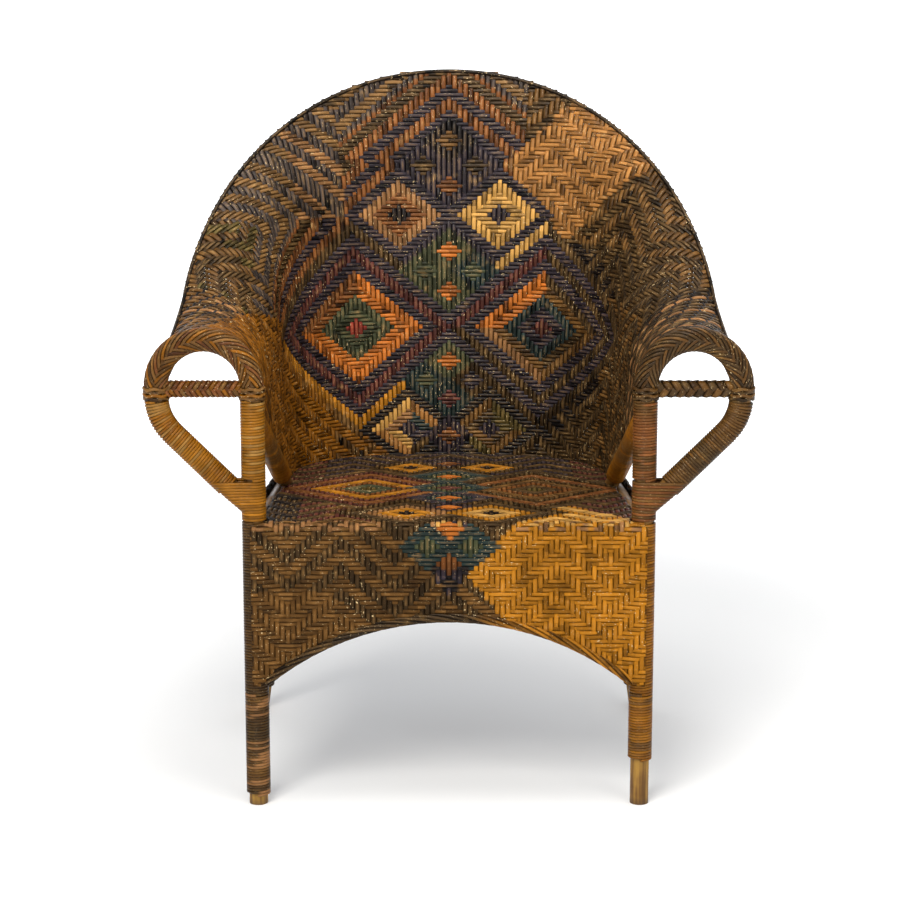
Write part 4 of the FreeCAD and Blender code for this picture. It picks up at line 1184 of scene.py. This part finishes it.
class CHAIR_OT_skirts(bpy.types.Operator):
    """Weave the side and rear aprons and lay the rope borders"""

    bl_idname = "chair.skirts"
    bl_label = "Weave Side Aprons and Ropes"

    def execute(self, context):
        tint = dyes_by_name(context.scene.chair_dyes)

        def umber_to_ochre(points):
            share = np.clip((points[:, 0] - 0.03) / 0.06, 0, 1)[:, None]
            return tint["umber"] * (1 - share) + tint["ochre"] * 0.8 * share

        self.side_apron("left", -1.0, brown_ground, umber_to_ochre, context.scene)
        self.side_apron("right", 1.0, ochre_ground, umber_to_ochre, context.scene)
        x = np.linspace(-LEG_X + ROPE_END, LEG_X - ROPE_END, 61)
        points = np.stack([x, np.full(len(x), LEG_Y + APRON_DEPTH), apron_arch(x, LEG_X)], -1)
        lay_strands("front_rope", rope(points, umber_to_ochre), "plaited reed", "front_apron_rope")
        self.rear_apron(tint["umber"], context.scene)
        return {"FINISHED"}

    def weave(self, name, node, place, inside, ground, half, scene):
        """A plain apron's stakes and rows as one piece."""
        wide = int(half / scene.chair_weave.seat_pitch)
        cloth = Cloth(place, inside, Pattern(ground), (-wide, wide), (APRON_ROW, 1), scene)
        lay_strands(name, cloth.strands(True) + cloth.strands(False), "woven reed", node)

    def side_apron(self, word, side, ground, rope_dye, scene):
        """The flat apron from a front leg to a rear leg, worked out on the right."""
        sizes = scene.chair_weave
        flip = vec(side, 1, 1)
        knee = vec(*REAR_KNEE)
        foot = vec(*REAR_FOOT)
        start = vec(LEG_X, 0, 0)
        way = unit(knee * vec(1, 1, 0) - start)
        out = vec(way[1], -way[0], 0)
        drop = 1 - APRON_ARCH[1] / knee[2]
        reach = np.dot(knee * vec(1, 1, 0) - start, way) + np.dot((foot - knee) * drop, way)
        half = reach / 2
        middle = start + way * half + out * -APRON_DEPTH + vec(0, LEG_Y, 0)

        def place(i, j):
            run = (i * side * sizes.seat_pitch)[..., None]
            return (middle + way * run) * flip + vec(0, 0, 1) * (APRON_TOP + j * sizes.apron_row)[..., None]

        def inside(i, j):
            run = i * side * sizes.seat_pitch
            z = APRON_TOP + j * sizes.apron_row
            leg = foot + (knee - foot) * (z / knee[2])[..., None] - start
            along = np.sum(leg * way, axis=-1) - half
            off = np.sum(leg * out, axis=-1) + APRON_DEPTH
            clear = np.sqrt(np.maximum(REAR_LEG_CLEAR ** 2 - off ** 2, 0.0))
            ends = np.minimum(run + half - SIDE_APRON_START, along - clear - run)
            return np.minimum(apron_depth(z, apron_arch(run, half)), ends)

        self.weave("side_apron_weave_" + word, "side_apron_" + word, place, inside, ground, half, scene)
        run = np.linspace(-half + ROPE_END, half - SIDE_ROPE_END, 41)
        tuck = SIDE_ROPE_TUCK * np.clip(1 - (run + half - ROPE_END) / SIDE_ROPE_TUCK_RUN, 0, 1) ** 2
        points = (middle + way * run[:, None] - out * tuck[:, None]) * flip
        points += vec(0, 0, 1) * apron_arch(run, half)[:, None]
        routes = rope(points, rope_dye, out * flip)
        lay_strands("side_rope_" + word, routes, "plaited reed", "side_apron_rope_" + word)

    def rear_apron(self, rope_dye, scene):
        """The bowed apron behind the seat."""
        sizes = scene.chair_weave
        shares = np.linspace(-REAR_APRON_SHARE, REAR_APRON_SHARE, 121)
        ring = Shell().section(shares)[0] * np.stack([np.sign(shares), 1 + 0 * shares], -1)
        ahead = np.gradient(ring, axis=0)
        away = unit(np.stack([-ahead[:, 1], ahead[:, 0]], -1))
        line = ring + away * -APRON_DEPTH
        bow = Pole(np.column_stack([line[:, 0], line[:, 1] + LEG_Y, 0 * shares]))
        half = line[-1, 0]

        def place(i, j):
            spot = bow.at(bow.length / 2 - i * sizes.seat_pitch)
            spot[..., 2] = APRON_TOP + j * sizes.apron_row
            return spot

        def inside(i, j):
            spot = place(i, j)
            edge = apron_arch(np.minimum(np.abs(spot[..., 0]), half), half)
            ends = bow.length / 2 - np.abs(i) * sizes.seat_pitch - REAR_APRON_CLEAR
            return np.minimum(apron_depth(spot[..., 2], edge), ends)

        self.weave("rear_apron_weave", "rear_apron", place, inside, brown_ground, bow.length / 2, scene)
        points = bow.points[3:-3].copy()
        points[:, 2] = apron_arch(points[:, 0], half)
        routes = rope(points, lambda spots: rope_dye, (0.0, 1.0, 0.0))
        lay_strands("rear_rope", routes, "plaited reed", "rear_apron_rope")


# Lamps with their places, sizes and watts. The camera's distance counts from the front legs, its tilt is in degrees.
LAMPS = (
    ("key", (-0.9, -2.6, 3.0), 1.5, 98.0),
    ("fill", (1.9, -2.9, 1.6), 1.6, 22.0),
    ("top", (0.2, -0.5, 3.2), 1.5, 50.0),
)
LAMP_AIM = Vector((0.0, 0.0, 0.5))
CAMERA_BACK = 2.8845
CAMERA_HEIGHT = 1.0516
CAMERA_TILT = 10.74


class CHAIR_OT_stage(bpy.types.Operator):
    """Pale floor and backdrop that glow, soft studio light and the camera"""

    bl_idname = "chair.stage"
    bl_label = "Set Stage"

    def execute(self, context):
        scene = context.scene
        paper, sockets, shader = new_finish("white paper")
        # The floor and backdrop glow by themselves, dimly within 0.9 m of the chair and fully from 2.6 m on: painted
        # light that keeps the background white while the chair's shadow stays grey.
        place = sockets.node("ShaderNodeTexCoord", out=3)
        away = sockets.node("ShaderNodeVectorMath", {"operation": "LENGTH"}, out=1, n0=place)
        glow = away.span(0.9, 2.6).blend((0.2, 0.2, 0.2, 1.0), (1.0, 1.0, 1.0, 1.0))
        feed(sockets, shader, "Emission Color", glow)
        shader.inputs["Emission Strength"].default_value = 1.0
        shader.inputs["Base Color"].default_value = (0.77, 0.79, 0.82, 1.0)
        shader.inputs["Roughness"].default_value = 0.9
        shader.inputs["Specular IOR Level"].default_value = 0.1
        upright = Matrix.Translation((0.0, 8.0, 0.0)) @ Matrix.Rotation(math.pi / 2, 4, "X")
        for name, way in (("floor", Matrix.Identity(4)), ("backdrop", upright)):
            bm = bmesh.new()
            bmesh.ops.create_grid(bm, x_segments=8, y_segments=8, size=8.0, matrix=way)
            mesh = bpy.data.meshes.new(name)
            bm.to_mesh(mesh)
            bm.free()
            mesh.materials.append(paper)
            sheet = bpy.data.objects.new(name, mesh)
            scene.collection.objects.link(sheet)
        world = bpy.data.worlds.new("studio")
        scene.world = world
        world.use_nodes = True
        sky = world.node_tree.nodes["Background"].inputs
        sky["Color"].default_value = (1.0, 1.0, 1.0, 1.0)
        sky["Strength"].default_value = 0.38
        for name, spot, size, power in LAMPS:
            light = bpy.data.lights.new(name, "AREA")
            light.shape = "SQUARE"
            light.size = size
            light.energy = power
            light.color = (1.0, 0.95, 0.87)
            lamp = bpy.data.objects.new(name, light)
            lamp.location = spot
            lamp.rotation_euler = (LAMP_AIM - Vector(spot)).to_track_quat("-Z", "Y").to_euler()
            scene.collection.objects.link(lamp)
        camera = bpy.data.cameras.new("camera")
        camera.sensor_width = 36.0
        camera.lens = 86.04
        eye = bpy.data.objects.new("camera", camera)
        eye.location = (0.0015, LEG_Y - CAMERA_BACK, CAMERA_HEIGHT)
        eye.rotation_euler = (math.radians(90 - CAMERA_TILT), 0.0, 0.0)
        scene.collection.objects.link(eye)
        scene.camera = eye
        scene.view_settings.view_transform = "Standard"
        return {"FINISHED"}


class CHAIR_OT_poles(bpy.types.Operator):
    """Finish the poles and nails of the frame"""

    bl_idname = "chair.poles"
    bl_label = "Finish Poles and Nails"

    def execute(self, context):
        made = finishes()
        for name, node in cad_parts.items():
            finish = made["nail iron"] if name == "frame_nails" else made["rattan pole"]
            node.data.materials.clear()
            node.data.materials.append(finish)
        return {"FINISHED"}


class CHAIR_PT_panel(bpy.types.Panel):
    """Buttons for the chair's steps, with its weave sizes and dyes"""

    bl_idname = "CHAIR_PT_panel"
    bl_label = "Wicker Armchair"
    bl_space_type = "VIEW_3D"
    bl_region_type = "UI"
    bl_category = "Wicker Armchair"

    def draw(self, context):
        for operator in OPERATORS:
            self.layout.operator(operator.bl_idname)
        for name in WeaveSizes.__annotations__:
            self.layout.prop(context.scene.chair_weave, name)
        for name in ReedDyes.__annotations__:
            self.layout.prop(context.scene.chair_dyes, name)


OPERATORS = (CHAIR_OT_poles, CHAIR_OT_back, CHAIR_OT_seat, CHAIR_OT_skirts, CHAIR_OT_wraps, CHAIR_OT_plaits,
             CHAIR_OT_stage)
CLASSES = (ReedDyes, WeaveSizes, *OPERATORS, CHAIR_PT_panel)


def register():
    for cls in CLASSES:
        bpy.utils.register_class(cls)
    bpy.types.Scene.chair_dyes = PointerProperty(type=ReedDyes)
    bpy.types.Scene.chair_weave = PointerProperty(type=WeaveSizes)


def unregister():
    del bpy.types.Scene.chair_weave
    del bpy.types.Scene.chair_dyes
    for cls in reversed(CLASSES):
        bpy.utils.unregister_class(cls)


def main():
    register()
    bpy.ops.chair.poles()
    bpy.ops.chair.back()
    bpy.ops.chair.seat()
    bpy.ops.chair.skirts()
    bpy.ops.chair.wraps()
    bpy.ops.chair.plaits()
    bpy.ops.chair.stage()


if __name__ == "__main__":
    main()
